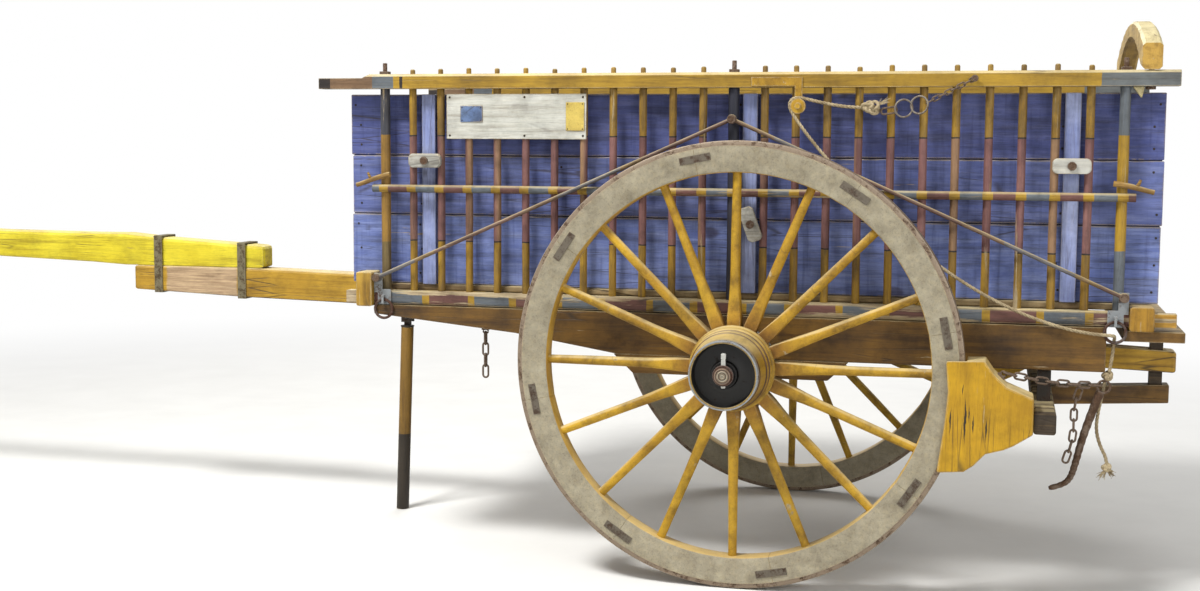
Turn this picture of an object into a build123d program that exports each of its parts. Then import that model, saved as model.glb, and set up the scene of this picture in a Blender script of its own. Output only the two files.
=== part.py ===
from build123d import *
import math
import os

# Ox cart with one central pole, two spoked wheels, slatted sides and a folding prop leg.
# Millimetres. While the pieces are drawn, X = 0 and Z = 0 are the middle of the axle, +X points to
# the tip of the pole and +Y to the cart's left side. The finished pieces are shifted so that the
# origin lies on the ground at the middle of the cart's whole length.

os.makedirs("parts", exist_ok=True)

# General clearances
SEAT_GAP = 0.3
RUNNING_GAP = 0.06
SPLIT_GAP = 1.0

# Wheels
WHEEL_RADIUS = 750.0
HALF_TRACK = 770.0
TYRE_THICKNESS = 17.0
TYRE_WIDTH = 66.0
FELLOE_DEPTH = 88.0
FELLOE_WIDTH = 70.0
FELLOE_COUNT = 8
SPOKES_PER_FELLOE = 2
SPOKE_FOOT_WIDTH = 46.0
SPOKE_FOOT_DEPTH = 54.0
SPOKE_FOOT_EDGE = 2.0
SPOKE_SQUARE_LENGTH = 55.0
SPOKE_TAPER_LENGTH = 120.0
SPOKE_BEVEL = 9.0
SPOKE_SHAFT_INNER = 34.0
SPOKE_SHAFT_OUTER = 29.0
SPOKE_DISH = 12.0
SPOKE_TENON_DEPTH = 30.0
SPOKE_TENON_SIZE = 20.0
CRAMP_LENGTH = 106.0
CRAMP_HEIGHT = 25.0
CRAMP_THICKNESS = 3.0
CRAMP_OFFSET = 12.0

# Hubs: distances along the axle are from the middle plane of the rim, outward positive
HUB_FRONT = 235.0
HUB_BACK = -158.0
HUB_FRONT_RADIUS = 113.0
HUB_SEAT_RADIUS = 128.0
HUB_RING_RADIUS = 143.0
HUB_RING_BEVEL = 12.0
HUB_RING_LENGTH = 24.0
HUB_NECK_RADIUS = 130.0
HUB_NECK_LENGTH = 66.0
HUB_BACK_RADIUS = 112.0
HUB_RECESS_RADIUS = 104.0
HUB_RECESS_DEPTH = 34.0
HUB_SEAT_HALF = 34.0
HUB_BAND_WIDTH = 26.0
HUB_BAND_THICKNESS = 5.0
HUB_BAND_PROUD = 2.0
BUSH_RADIUS = 42.0
BUSH_RIM = 12.0

# Axle
AXLE_BAR = 62.0
AXLE_RADIUS = 27.0
AXLE_COLLAR_RADIUS = 50.0
AXLE_COLLAR_WIDTH = 8.0
AXLE_END_PAST_HUB = 16.0
HUB_SIDE_PLAY = 2.0
WASHER_RADIUS = 43.0
WASHER_THICKNESS = 7.0
WASHER_SIDES = 16
LINCHPIN_WIDTH = 16.0
LINCHPIN_HEAD_WIDTH = 24.0
LINCHPIN_THICKNESS = 9.0
LINCHPIN_ABOVE = 48.0
LINCHPIN_BELOW = 14.0

# Bed: sills, side beams and crossbeams
SIDE_BEAM_WIDTH = 66.0
BEAM_TO_COLLAR = 2.0
SILL_SIZE = 52.0
SILL_ROUND = 15.0
SILL_TOP = 201.0
SILL_PAST_FIRST_STAKE = 150.0
SILL_PAST_LAST_STAKE = 181.0
TENON_WIDTH = 46.0
TENON_HEIGHT = 44.0
SIDE_BEAM_SHORT_OF_LAST_STAKE = 34.0
SIDE_BEAM_BOTTOM = 2.0
SIDE_BEAM_FLAT_END = 450.0
SIDE_BEAM_KNEE_X = 820.0
SIDE_BEAM_KNEE_Z = 62.0
SIDE_BEAM_FRONT_Z = 116.0
AXLE_BLOCK_FRONT = 460.0
AXLE_BLOCK_REAR = -360.0
AXLE_BLOCK_BOTTOM = -64.0
AXLE_BLOCK_SLOPE = 70.0
FRONT_BEAM_PAST_FIRST_STAKE = 70.0
FRONT_BEAM_WIDTH = 62.0
FRONT_BEAM_BOTTOM = 143.0
FRONT_BEAM_HEIGHT = 125.0
REAR_BEAM_PAST_LAST_STAKE = 73.0
REAR_BEAM_WIDTH = 76.0
REAR_BEAM_BOTTOM = 140.0
REAR_BEAM_HEIGHT = 80.0
CROSSBEAM_PAST_SILL = 26.0
CROSSBEAM_BEVEL = 5.0
SLEEPER_PAST_LAST_STAKE = 19.0
SLEEPER_LENGTH = 189.0
SLEEPER_THICKNESS = 34.0
SLEEPER_PAST_RAIL = 33.0
JOIST_COUNT = 5
JOIST_WIDTH = 62.0
JOIST_HEIGHT = 52.0
FLOOR_THICKNESS = 22.0
FLOOR_BOARD_COUNT = 6

# Sides
STAKE_COUNT = 25
STAKE_PITCH = 106.0
STAKE_FIRST_X = 1320.0
STAKE_LAST_X = STAKE_FIRST_X - (STAKE_COUNT - 1) * STAKE_PITCH
STAKE_ACROSS = 28.0
STAKE_PEG_ACROSS = 18.0
STAKE_PEG_ABOVE = 22.0
PEG_SIDES = 6
END_STAKE_ACROSS = 36.0
CENTRE_POST_ACROSS = 40.0
TOP_RAIL_TOP = 980.0
TOP_RAIL_HEIGHT = 52.0
TOP_RAIL_WIDTH = 62.0
TOP_RAIL_PAST_FIRST_STAKE = 246.0
TOP_RAIL_PAST_LAST_STAKE = 165.0
TOP_RAIL_BEVEL = 9.0
TOP_RAIL_TIP_LENGTH = 194.0
TOP_RAIL_TIP_SLOPE = 26.0
TOP_RAIL_TIP_TOP = 966.0
MID_RAIL_Z = 571.0
MID_RAIL_RADIUS = 14.0
MID_RAIL_LAP = 4.5
MID_RAIL_PAST = 24.0
BOARD_THICKNESS = 22.0
BOARD_PAST_FIRST_STAKE = 150.0
BOARD_PAST_LAST_STAKE = 131.0
BOARD_TOP = 909.0
BOARD_JOINTS = [477.0, 690.0]
BATTEN_THICKNESS = 21.0
BATTEN_WIDTH = 52.0
BATTEN_PITCHES_FROM_END = 1.5
CENTRE_BATTEN_BEHIND_POST = 54.0
TOGGLE_PAST_STAKES = 8.0
TOGGLE_HEIGHT = 50.0
TOGGLE_THICKNESS = 18.0
TOGGLE_CORNER = 10.0
TOGGLES = [
    # one for each batten: offset along the cart, height above the mid rail, turn in degrees
    (0.0, 101.0, 0.0),
    (-12.0, -107.0, -70.0),
    (0.0, 100.0, 0.0),
]
BOLT_ACROSS = 16.0
BOLT_HEAD_ACROSS = 28.0
BOLT_HEAD_HEIGHT = 8.0
STAY_ACROSS = 14.0
STAY_EYE_ACROSS = 32.0
STAY_EYE_THICKNESS = 17.0
STAY_END_OFFSET = 24.0
STAY_END_Z = 248.0
STAY_APEX_Z = 821.0
END_IRON_ACROSS = 16.0
END_IRON_ABOVE = 30.0
END_NUT_ACROSS = 32.0
END_NUT_THICKNESS = 10.0
SIGN_TOP = 909.0
SIGN_HEIGHT = 159.0
SIGN_FRONT = 1080.0
SIGN_REAR = 565.0
SIGN_THICKNESS = 4.0
SIGN_PLATE_THICKNESS = 3.0
SIGN_PLATES = [
    # rear x, front x, low z, high z
    (945.0, 1027.0, 810.0, 867.0),
    (572.0, 638.0, 780.0, 879.0),
]
HOOK_PEG_ACROSS = 18.0
HOOK_FORK_ACROSS = 13.0
HOOK_FORK_RISE = 26.0
HOOK_FORK_PLACE = 0.55
HOOK_FORK_REACH = 0.12
HOOK_PEGS = [
    # for the front and the rear end stake: inner end's distance from the stake and height above the
    # mid rail, outer end's distance from the stake and height above the mid rail
    (-27.0, 51.0, 103.0, 13.0),
    (29.0, 45.0, -97.0, 20.0),
]

# Rear arch over the top rails
ARCH_BEHIND_STAKE = 76.0
ARCH_DEPTH = 62.0
ARCH_THICKNESS = 60.0
ARCH_END_HEIGHT = 84.0
ARCH_TOP = 1170.0
ARCH_BOLT_TOP = 1018.0
ARCH_NUT_ACROSS = 28.0
ARCH_NUT_HEIGHT = 10.0
TOOTH_BEHIND_STAKE = 20.0
TOOTH_LENGTH = 37.0
TOOTH_HEIGHT = 38.0
TOOTH_THICKNESS = 30.0
TOOTH_SLOPE = 8.0

# Shoes and rings at the ends of the sills
SHOE_WIDTH = 50.0
SHOE_HEIGHT = 50.0
SHOE_ABOVE_SILL = 4.0
SHOE_THICKNESS = 6.0
SHOE_FROM_FIRST_STAKE = 2.0
SHOE_FROM_LAST_STAKE = 8.0
RING_RADIUS = 34.0
RING_WIRE = 5.0
RING_SIDES = 12
STAPLE_WIDTH = 16.0
STAPLE_REACH = 19.0
STAPLE_WIRE = 8.0
STAPLE_BELOW_SILL_TOP = 31.0

# Pole: the tables give the height of its lower and upper faces along the cart
POLE_WIDTH = 104.0
POLE_EXTENSION_WIDTH = 92.0
POLE_TIP = 4250.0
POLE_SPLICE_REAR = 2067.0
POLE_MAIN_FRONT = 2655.0
POLE_PAST_LAST_STAKE = 241.0
POLE_SPLICE_Z = 220.0
POLE_REAR = STAKE_LAST_X - POLE_PAST_LAST_STAKE
POLE_STATIONS = [
    # x, underside z, top z
    (POLE_REAR, -68.0, 8.0),
    (-600.0, -38.0, 50.0),
    (400.0, 14.0, 116.0),
    (1640.0, 88.0, 207.0),
    (2150.0, 100.0, POLE_SPLICE_Z),
    (POLE_MAIN_FRONT, 121.0, POLE_SPLICE_Z),
]
EXTENSION_STATIONS = [
    # x, underside z, top z
    (POLE_SPLICE_REAR, POLE_SPLICE_Z + SEAT_GAP, 311.0),
    (2540.0, POLE_SPLICE_Z + SEAT_GAP, 338.0),
    (2700.0, POLE_SPLICE_Z + SEAT_GAP, 352.0),
    (2860.0, 229.0, 351.0),
    (3300.0, 243.0, 354.0),
    (POLE_TIP, 305.0, 392.0),
]
BAND_WIDTH = 36.0
BAND_THICKNESS = 6.0
BANDS_AHEAD_OF_SPLICE = [95.0, 473.0]
YOKE_HOLE_RADIUS = 15.0
YOKE_HOLE_XS = [4150.0, 3990.0]

# Prop leg under the front of the pole
PROP_X = 1460.0
PROP_HINGE_Z = 36.0
PROP_RADIUS = 25.0
PROP_WOOD_TOP = -5.0
PROP_LEAN = 28.0
PROP_NECK_WIDTH = 24.0
PROP_CAP_RADIUS = 27.0
PROP_CAP_THICKNESS = 5.0
PROP_PLATE_LENGTH = 110.0
PROP_PLATE_THICKNESS = 8.0
PROP_PLATE_PAST_EAR = 12.0
PROP_EYE_RADIUS = 22.0
PROP_EYE_THICKNESS = 22.0
PROP_PIN_RADIUS = 8.0
PROP_PIN_PAST_EAR = 6.0
PROP_EAR_WIDTH = 40.0
PROP_EAR_THICKNESS = 10.0
PROP_EAR_GAP = 0.5

# Brake behind the wheels
BRAKE_BLOCK_WIDTH = 128.0
BRAKE_BLOCK_PAST_TRACK = 58.0
BRAKE_WHEEL_GAP = 7.0
BRAKE_BEAM_BEHIND_RIM = 250.0
BRAKE_BEAM_Z = -140.0
BRAKE_BEAM_SIZE = 70.0
BRAKE_BEAM_INSET = 12.0
BRAKE_BEAM_BEVEL = 6.0
BRAKE_OUTLINE = [
    # distance in front of the rim's rearmost point, z
    (60.0, 50.0), (52.0, -50.0), (60.0, -150.0), (82.0, -313.0), (-3.0, -306.0), (-33.0, -285.0),
    (-69.0, -245.0), (-125.0, -229.0), (-155.0, -215.0),
]
BRAKE_OUTLINE_TOP = [
    # distance in front of the rim's rearmost point, z
    (-130.0, -25.0), (-90.0, 14.0), (-62.0, 54.0),
]
BRAKE_BACK_LOW = -176.0
BRAKE_BACK_HIGH = -60.0
BRAKE_ARM_WIDTH = 70.0
BRAKE_ARM_DEPTH = 66.0
BRAKE_ARM_FRONT_DROP = 28.0
BRAKE_ARM_REAR_RISE = 24.0
BRAKE_ARM_PAST_POST = 46.0
HANGER_WIDTH = 44.0
HANGER_THICKNESS = 10.0
TAIL_POST_BOTTOM = -170.0
TAIL_POST_WIDTH = 44.0
TAIL_POST_PAST_LAST_STAKE = 176.0

# Hook, chains and rope of the brake on the left side
HOOK_FROM_RAIL = 25.0
HOOK_ACROSS = 17.0
HOOK_EYE_X = -1188.0
HOOK_EYE_Z = -46.0
HOOK_EYE_RADIUS = 20.0
HOOK_EYE_WIRE = 4.0
HOOK_POINTS = [
    # x, z from the eye down to the tip
    (-1178.0, -62.0), (-1154.0, -130.0), (-1126.0, -220.0), (-1108.0, -300.0), (-1094.0, -354.0),
    (-1068.0, -380.0), (-1025.0, -392.0),
]
CHAIN_HALF_WIDTH = 10.0
CHAIN_WIRE = 3.0
CHAIN_CORNER = 0.55
EYE_PLATE_SIZE = 26.0
EYE_PLATE_THICKNESS = 6.0
EYE_REACH = 10.0
BRAKE_CHAIN_LINKS = 9
BRAKE_CHAIN_SAG = 10.0
BRAKE_CHAIN_IN_FROM_FACE = 93.0
BRAKE_CHAIN_ANGLE = 20.0
BRAKE_CHAIN_PLAY = 3.2
BRAKE_CHAIN_SIDESTEP = 3.0
RAIL_CHAIN_FROM_RAIL = 46.0
RAIL_CHAIN_POINTS = [
    # x, z from the pin on the top rail to the knot of the rope
    (-757.0, 957.0), (-718.0, 936.5), (-679.0, 916.0), (-640.0, 895.5), (-601.0, 875.0), (-551.0, 861.0),
    (-500.0, 853.0), (-455.0, 846.0),
]
RAIL_CHAIN_RINGS = [4, 5]
RAIL_PIN_RADIUS = 6.0
RAIL_PIN_LENGTH = 30.0
RAIL_PIN_HEAD = 6.0
PROP_CHAIN_X = 940.0
PROP_CHAIN_PITCH = 40.0
PROP_CHAIN_LINKS = 4
ROPE_DIAMETER = 12.0
ROPE_ARC_SHARE = 0.45
ROPE_LINE = [
    # x, distance outward from the rail's middle, z
    (-393.0, 46.0, 859.5), (-352.0, 46.0, 860.5), (-296.0, 45.0, 868.0), (-234.0, 43.5, 880.8),
    (-163.5, 42.6, 898.1), (-140.6, 42.6, 866.2), (-182.0, 45.5, 803.0), (-268.0, 54.0, 697.0),
    (-384.0, 58.0, 578.0), (-505.0, 58.5, 461.0), (-636.0, 58.0, 349.0), (-782.0, 57.5, 255.0),
    (-925.0, 57.0, 186.0), (-1052.0, 56.5, 145.0), (-1140.0, 55.5, 130.0), (-1188.0, 55.0, 127.0),
    (-1213.0, 44.0, 124.0), (-1216.0, 21.0, 116.0), (-1214.0, 17.0, 88.0), (-1210.0, 21.0, 44.0),
    (-1203.0, 25.0, 3.3),
]
ROPE_TAIL = [
    # x, distance outward from the rail's middle, z
    (-1193.0, 8.0, -22.3), (-1186.0, 5.0, -68.0), (-1175.0, 5.0, -126.0), (-1168.0, 7.0, -190.0),
    (-1183.0, 8.0, -245.0), (-1205.0, 8.0, -284.0), (-1207.0, 8.0, -310.0),
]
KNOT_ACROSS = 30.0
ROPE_KNOTS = [
    # first end x, distance outward, z, second end x, distance outward, z
    (-445.0, 46.0, 852.0, -393.8, 46.0, 859.0),
    (-1199.0, 16.0, -20.7, -1199.0, 16.0, 1.5),
    (-1207.0, 8.0, -311.3, -1204.0, 8.0, -340.0),
]

# Pulley under the left top rail
PULLEY_X = -176.0
PULLEY_Z = 865.0
PULLEY_PLATE_LENGTH = 160.0
PULLEY_PLATE_LOW = 4.0
PULLEY_PLATE_HIGH = 34.0
PULLEY_PIN_RADIUS = 6.0
PULLEY_PIN_PAST = 8.0
PULLEY_PIN_HEAD = 20.0
PULLEY_RADIUS = 26.0
PULLEY_GROOVE = 5.0
PULLEY_THICKNESS = 14.0
PULLEY_STRAP_WIDTH = 26.0
PULLEY_STRAP_THICKNESS = 4.0

# Places that follow from the sizes above
SILL_FRONT = STAKE_FIRST_X + SILL_PAST_FIRST_STAKE
SILL_REAR = STAKE_LAST_X - SILL_PAST_LAST_STAKE
SIDE_BEAM_REAR = STAKE_LAST_X + SIDE_BEAM_SHORT_OF_LAST_STAKE
FRONT_BEAM_X = STAKE_FIRST_X + FRONT_BEAM_PAST_FIRST_STAKE
REAR_BEAM_X = STAKE_LAST_X - REAR_BEAM_PAST_LAST_STAKE
SLEEPER_FRONT = STAKE_LAST_X - SLEEPER_PAST_LAST_STAKE
SLEEPER_REAR = SLEEPER_FRONT - SLEEPER_LENGTH
TOP_RAIL_FRONT = STAKE_FIRST_X + TOP_RAIL_PAST_FIRST_STAKE
TOP_RAIL_REAR = STAKE_LAST_X - TOP_RAIL_PAST_LAST_STAKE
TOP_RAIL_TIP_START = TOP_RAIL_FRONT - TOP_RAIL_TIP_LENGTH
BOARD_FRONT = STAKE_FIRST_X + BOARD_PAST_FIRST_STAKE
BOARD_REAR = STAKE_LAST_X - BOARD_PAST_LAST_STAKE
SHOE_FRONT_X = STAKE_FIRST_X - SHOE_FROM_FIRST_STAKE
SHOE_REAR_X = STAKE_LAST_X + SHOE_FROM_LAST_STAKE
TAIL_POST_X = STAKE_LAST_X - TAIL_POST_PAST_LAST_STAKE
COLLAR_INNER_Y = HALF_TRACK + HUB_BACK - HUB_SIDE_PLAY - AXLE_COLLAR_WIDTH
RAIL_Y = COLLAR_INNER_Y - BEAM_TO_COLLAR - SIDE_BEAM_WIDTH / 2
BUSH_FRONT_Y = HALF_TRACK + HUB_FRONT - HUB_RECESS_DEPTH + BUSH_RIM
SILL_BOTTOM = SILL_TOP - SILL_SIZE
SILL_MIDDLE = SILL_TOP - SILL_SIZE / 2
SIDE_BEAM_TOP = SILL_BOTTOM - SEAT_GAP
RAIL_BOTTOM = TOP_RAIL_TOP - TOP_RAIL_HEIGHT
RAIL_OUTER_Y = RAIL_Y + TOP_RAIL_WIDTH / 2
FRONT_BEAM_BACK = FRONT_BEAM_X - FRONT_BEAM_WIDTH / 2
REAR_BEAM_FRONT = REAR_BEAM_X + REAR_BEAM_WIDTH / 2
FLOOR_BOTTOM = SILL_TOP + SEAT_GAP
FLOOR_TOP = FLOOR_BOTTOM + FLOOR_THICKNESS
STAKE_INNER = RAIL_Y - STAKE_ACROSS / 2
STAKE_OUTER = RAIL_Y + STAKE_ACROSS / 2
BATTEN_OUTER = STAKE_INNER - SEAT_GAP
BOARD_OUTER = BATTEN_OUTER - BATTEN_THICKNESS - SEAT_GAP
BOARD_INNER = BOARD_OUTER - BOARD_THICKNESS
BOARD_BOTTOM = FLOOR_TOP + SEAT_GAP
CENTRE_POST_X = STAKE_FIRST_X - (STAKE_COUNT // 2) * STAKE_PITCH
BATTEN_XS = [
    STAKE_FIRST_X - BATTEN_PITCHES_FROM_END * STAKE_PITCH,
    CENTRE_POST_X - CENTRE_BATTEN_BEHIND_POST,
    STAKE_LAST_X + BATTEN_PITCHES_FROM_END * STAKE_PITCH,
]
ARCH_X = STAKE_LAST_X - ARCH_BEHIND_STAKE
TOOTH_FRONT = STAKE_LAST_X - TOOTH_BEHIND_STAKE
TOOTH_REAR = TOOTH_FRONT - TOOTH_LENGTH
BAND_XS = [POLE_SPLICE_REAR + ahead for ahead in BANDS_AHEAD_OF_SPLICE]
FELLOE_OUTER = WHEEL_RADIUS - TYRE_THICKNESS - SEAT_GAP
FELLOE_INNER = FELLOE_OUTER - FELLOE_DEPTH
FELLOE_PITCH = 360 / FELLOE_COUNT
FELLOE_JOINT = math.degrees(SPLIT_GAP / FELLOE_OUTER)
FELLOE_ARC = FELLOE_PITCH - FELLOE_JOINT
SHOE_INNER_Y = RAIL_Y + SILL_SIZE / 2 + SEAT_GAP
SHOE_OUTER_Y = SHOE_INNER_Y + SHOE_THICKNESS
STAPLE_Z = SILL_TOP - STAPLE_BELOW_SILL_TOP
STAY_Y = SHOE_OUTER_Y + SEAT_GAP + STAY_EYE_THICKNESS / 2
STAY_POINTS = [
    # x, z
    (SHOE_FRONT_X + STAY_END_OFFSET, STAY_END_Z),
    (CENTRE_POST_X, STAY_APEX_Z),
    (SHOE_REAR_X - STAY_END_OFFSET, STAY_END_Z),
]
TOGGLE_INNER = STAKE_OUTER + SEAT_GAP
TOGGLE_LENGTH = STAKE_PITCH + 2 * TOGGLE_PAST_STAKES
BRAKE_BEAM_X = -WHEEL_RADIUS - BRAKE_BEAM_BEHIND_RIM
BRAKE_BLOCK_OUTER_Y = HALF_TRACK + BRAKE_BLOCK_PAST_TRACK
HOOK_Y = RAIL_Y + HOOK_FROM_RAIL
ORIGIN_X = (POLE_TIP + POLE_REAR) / 2


def block(x_range, y_range, z_range):
    """Rectangular piece between three pairs of limits."""
    size = [high - low for low, high in (x_range, y_range, z_range)]
    middle = [(high + low) / 2 for low, high in (x_range, y_range, z_range)]
    return Pos(*middle) * Box(*size)


def around(middle, width):
    """Pair of limits of the given width round a middle."""
    return (middle - width / 2, middle + width / 2)


def rod(start, end, radius):
    """Round bar from one point to another."""
    along = Vector(*end) - Vector(*start)
    piece = Cylinder(radius, along.length, align=(Align.CENTER, Align.CENTER, Align.MIN))
    return Plane(origin=start, z_dir=along) * piece


def bar(start, end, across, sides=8):
    """Bar with flat sides from one point to another, measured across its flats."""
    along = Vector(*end) - Vector(*start)
    unit = along.normalized()
    side = Vector(1, 0, 0) if abs(unit.Y) > 0.9 else Vector(0, 1, 0)
    side = side - unit * side.dot(unit)
    face = RegularPolygon(across / 2, sides, major_radius=False, rotation=180 / sides)
    return extrude(Plane(origin=start, x_dir=side, z_dir=along) * face, amount=along.length)


def bar_along_y(x, z, y_range, across, sides=8):
    """Bar with flat sides whose axis runs across the cart."""
    return bar((x, y_range[0], z), (x, y_range[1], z), across, sides)


def round_along_y(x, z, y_range, radius):
    """Round piece whose axis runs across the cart."""
    return rod((x, y_range[0], z), (x, y_range[1], z), radius)


def side_view(points, y_range):
    """Piece whose outline is seen from the side, with its thickness along Y."""
    low, high = y_range
    outline = Polyline([(x, low, z) for x, z in points], close=True)
    return extrude(make_face(outline), amount=high - low, dir=(0, 1, 0))


def hoop(radius, wire):
    """Ring with flat sides about Z, measured to the middle of its wire."""
    outer = RegularPolygon(radius + wire, RING_SIDES)
    inner = RegularPolygon(radius - wire, RING_SIDES)
    return extrude(outer - inner, amount=wire, both=True)


def tube(outer, inner, low, high):
    """Plain round ring about Z."""
    outline = Polyline((inner, low), (outer, low), (outer, high), (inner, high), close=True)
    return revolve(make_face(Plane.XZ * outline), Axis.Z)


def other_side(piece):
    """The same piece on the right side of the cart."""
    return mirror(piece, about=Plane.XZ)


def save(name, pieces):
    """Shift the pieces to the cart's origin and write them as one node."""
    moved = [Pos(-ORIGIN_X, 0, WHEEL_RADIUS) * piece for piece in pieces]
    shape = moved[0] if len(moved) == 1 else Compound(children=moved)
    export_step(shape, f"parts/{name}.step")


def save_pair(name, pieces):
    """Write the left pieces and their mirror images as two nodes."""
    save(f"{name}_left", pieces)
    save(f"{name}_right", [other_side(piece) for piece in pieces])


def save_both(name, pieces):
    """Write the left pieces and their mirror images as one node."""
    save(name, pieces + [other_side(piece) for piece in pieces])


# Wheel, drawn about Z with its outer side up


def tyre():
    """Iron hoop shrunk on the rim."""
    half = TYRE_WIDTH / 2
    return tube(WHEEL_RADIUS, WHEEL_RADIUS - TYRE_THICKNESS, -half, half)


def spoke_angles():
    """Directions of the spokes of the first felloe, from its lower end."""
    return [FELLOE_ARC * (index + 0.5) / SPOKES_PER_FELLOE for index in range(SPOKES_PER_FELLOE)]


def felloe():
    """One rim segment, with its mortises for the spokes."""
    half = FELLOE_WIDTH / 2
    section = Polyline(
        (FELLOE_INNER, -half), (FELLOE_OUTER, -half), (FELLOE_OUTER, half), (FELLOE_INNER, half), close=True
    )
    piece = revolve(make_face(Plane.XZ * section), Axis.Z, revolution_arc=FELLOE_ARC)
    size = SPOKE_TENON_SIZE + 2 * SEAT_GAP
    reach = FELLOE_INNER + SPOKE_TENON_DEPTH + SEAT_GAP
    for angle in spoke_angles():
        piece -= Rot(0, 0, angle) * block((0, reach), around(0, size), around(0, size))
    return piece


def spoke():
    """Spoke along +X: square foot in the hub, bevelled taper, eight-sided shaft and a tenon."""
    foot = HUB_SEAT_RADIUS + SEAT_GAP
    square_end = foot + SPOKE_SQUARE_LENGTH
    taper_end = square_end + SPOKE_TAPER_LENGTH
    shoulder = FELLOE_INNER - SEAT_GAP
    eight_sided = 1 - math.tan(math.pi / 8)
    stations = [
        # distance from the hub's middle, width, depth, bevel
        (foot, SPOKE_FOOT_WIDTH, SPOKE_FOOT_DEPTH, SPOKE_FOOT_EDGE),
        (square_end, SPOKE_FOOT_WIDTH, SPOKE_FOOT_DEPTH, SPOKE_BEVEL),
        (taper_end, SPOKE_SHAFT_INNER, SPOKE_SHAFT_INNER, SPOKE_SHAFT_INNER / 2 * eight_sided),
        (shoulder, SPOKE_SHAFT_OUTER, SPOKE_SHAFT_OUTER, SPOKE_SHAFT_OUTER / 2 * eight_sided),
    ]
    sections = []
    for x, width, depth, bevel in stations:
        height = SPOKE_DISH * (shoulder - x) / (shoulder - foot)
        plane = Plane(origin=(x, 0, height), x_dir=(0, 1, 0), z_dir=(1, 0, 0))
        a, b = width / 2, depth / 2
        corners = [
            (a, -b + bevel), (a, b - bevel), (a - bevel, b), (-a + bevel, b),
            (-a, b - bevel), (-a, -b + bevel), (-a + bevel, -b), (a - bevel, -b),
        ]
        sections.append(make_face(plane * Polyline(corners, close=True)))
    half = SPOKE_TENON_SIZE / 2
    tenon = block((shoulder - half, FELLOE_INNER + SPOKE_TENON_DEPTH), (-half, half), (-half, half))
    return loft(sections, ruled=True) + tenon


def hub():
    """Turned wooden hub with mouldings, a front recess and a bore for its bush."""
    bore = BUSH_RADIUS + SEAT_GAP
    seat_front = SPOKE_DISH + HUB_SEAT_HALF
    seat_back = SPOKE_DISH - HUB_SEAT_HALF
    ring_front = seat_front + HUB_RING_BEVEL / 2 + HUB_RING_LENGTH
    neck_back = ring_front + HUB_RING_BEVEL / 2
    recess = HUB_FRONT - HUB_RECESS_DEPTH
    profile = [
        # radius, distance along the axle
        (bore, HUB_BACK),
        (HUB_BACK_RADIUS - HUB_BAND_THICKNESS, HUB_BACK),
        (HUB_BACK_RADIUS - HUB_BAND_THICKNESS, HUB_BACK + HUB_BAND_WIDTH),
        (HUB_BACK_RADIUS, HUB_BACK + HUB_BAND_WIDTH),
        (HUB_SEAT_RADIUS, seat_back),
        (HUB_SEAT_RADIUS, seat_front),
        (HUB_RING_RADIUS, seat_front + HUB_RING_BEVEL / 2),
        (HUB_RING_RADIUS, ring_front),
        (HUB_NECK_RADIUS, neck_back),
        (HUB_NECK_RADIUS, seat_front + HUB_NECK_LENGTH),
        (HUB_FRONT_RADIUS, HUB_FRONT - HUB_BAND_WIDTH),
        (HUB_FRONT_RADIUS - HUB_BAND_THICKNESS, HUB_FRONT - HUB_BAND_WIDTH),
        (HUB_FRONT_RADIUS - HUB_BAND_THICKNESS, HUB_FRONT),
        (HUB_RECESS_RADIUS, HUB_FRONT),
        (HUB_RECESS_RADIUS, recess),
        (bore, recess),
    ]
    return revolve(make_face(Plane.XZ * Polyline(profile, close=True)), Axis.Z)


def hub_irons():
    """Iron hoops shrunk on the two ends of the hub, and the bush that turns on the axle."""
    front = tube(
        HUB_FRONT_RADIUS,
        HUB_FRONT_RADIUS - HUB_BAND_THICKNESS + SEAT_GAP,
        HUB_FRONT - HUB_BAND_WIDTH + SEAT_GAP,
        HUB_FRONT + HUB_BAND_PROUD,
    )
    back = tube(
        HUB_BACK_RADIUS,
        HUB_BACK_RADIUS - HUB_BAND_THICKNESS + SEAT_GAP,
        HUB_BACK,
        HUB_BACK + HUB_BAND_WIDTH - SEAT_GAP,
    )
    bush = tube(BUSH_RADIUS, AXLE_RADIUS + RUNNING_GAP, HUB_BACK, HUB_FRONT - HUB_RECESS_DEPTH + BUSH_RIM)
    return [front, back, bush]


def cramp():
    """Flat iron let across a felloe joint on the outer face of the rim."""
    low = FELLOE_WIDTH / 2 + SEAT_GAP
    middle = (FELLOE_INNER + FELLOE_OUTER) / 2 + CRAMP_OFFSET
    return block(around(middle, CRAMP_HEIGHT), around(0, CRAMP_LENGTH), (low, low + CRAMP_THICKNESS))


def make_wheels():
    """A spoke points straight up and each felloe carries its spokes evenly."""
    place = Pos(0, HALF_TRACK, 0) * Rot(-90, 0, 0)
    first = 90 - FELLOE_PITCH / SPOKES_PER_FELLOE / 2
    one_felloe = felloe()
    one_spoke = spoke()
    one_cramp = cramp()
    felloes = []
    spokes = []
    cramps = []
    for index in range(FELLOE_COUNT):
        joint = first + index * FELLOE_PITCH
        start = joint + FELLOE_JOINT / 2
        felloes.append(place * Rot(0, 0, start) * one_felloe)
        cramps.append(place * Rot(0, 0, joint) * one_cramp)
        for angle in spoke_angles():
            spokes.append(place * Rot(0, 0, start + angle) * one_spoke)
    save_pair("wheel_tyre", [place * tyre()])
    save_pair("wheel_felloes", felloes)
    save_pair("wheel_hub_and_spokes", [place * hub()] + spokes)
    save_pair("wheel_irons", [place * piece for piece in hub_irons()] + cramps)


# Axle


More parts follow.
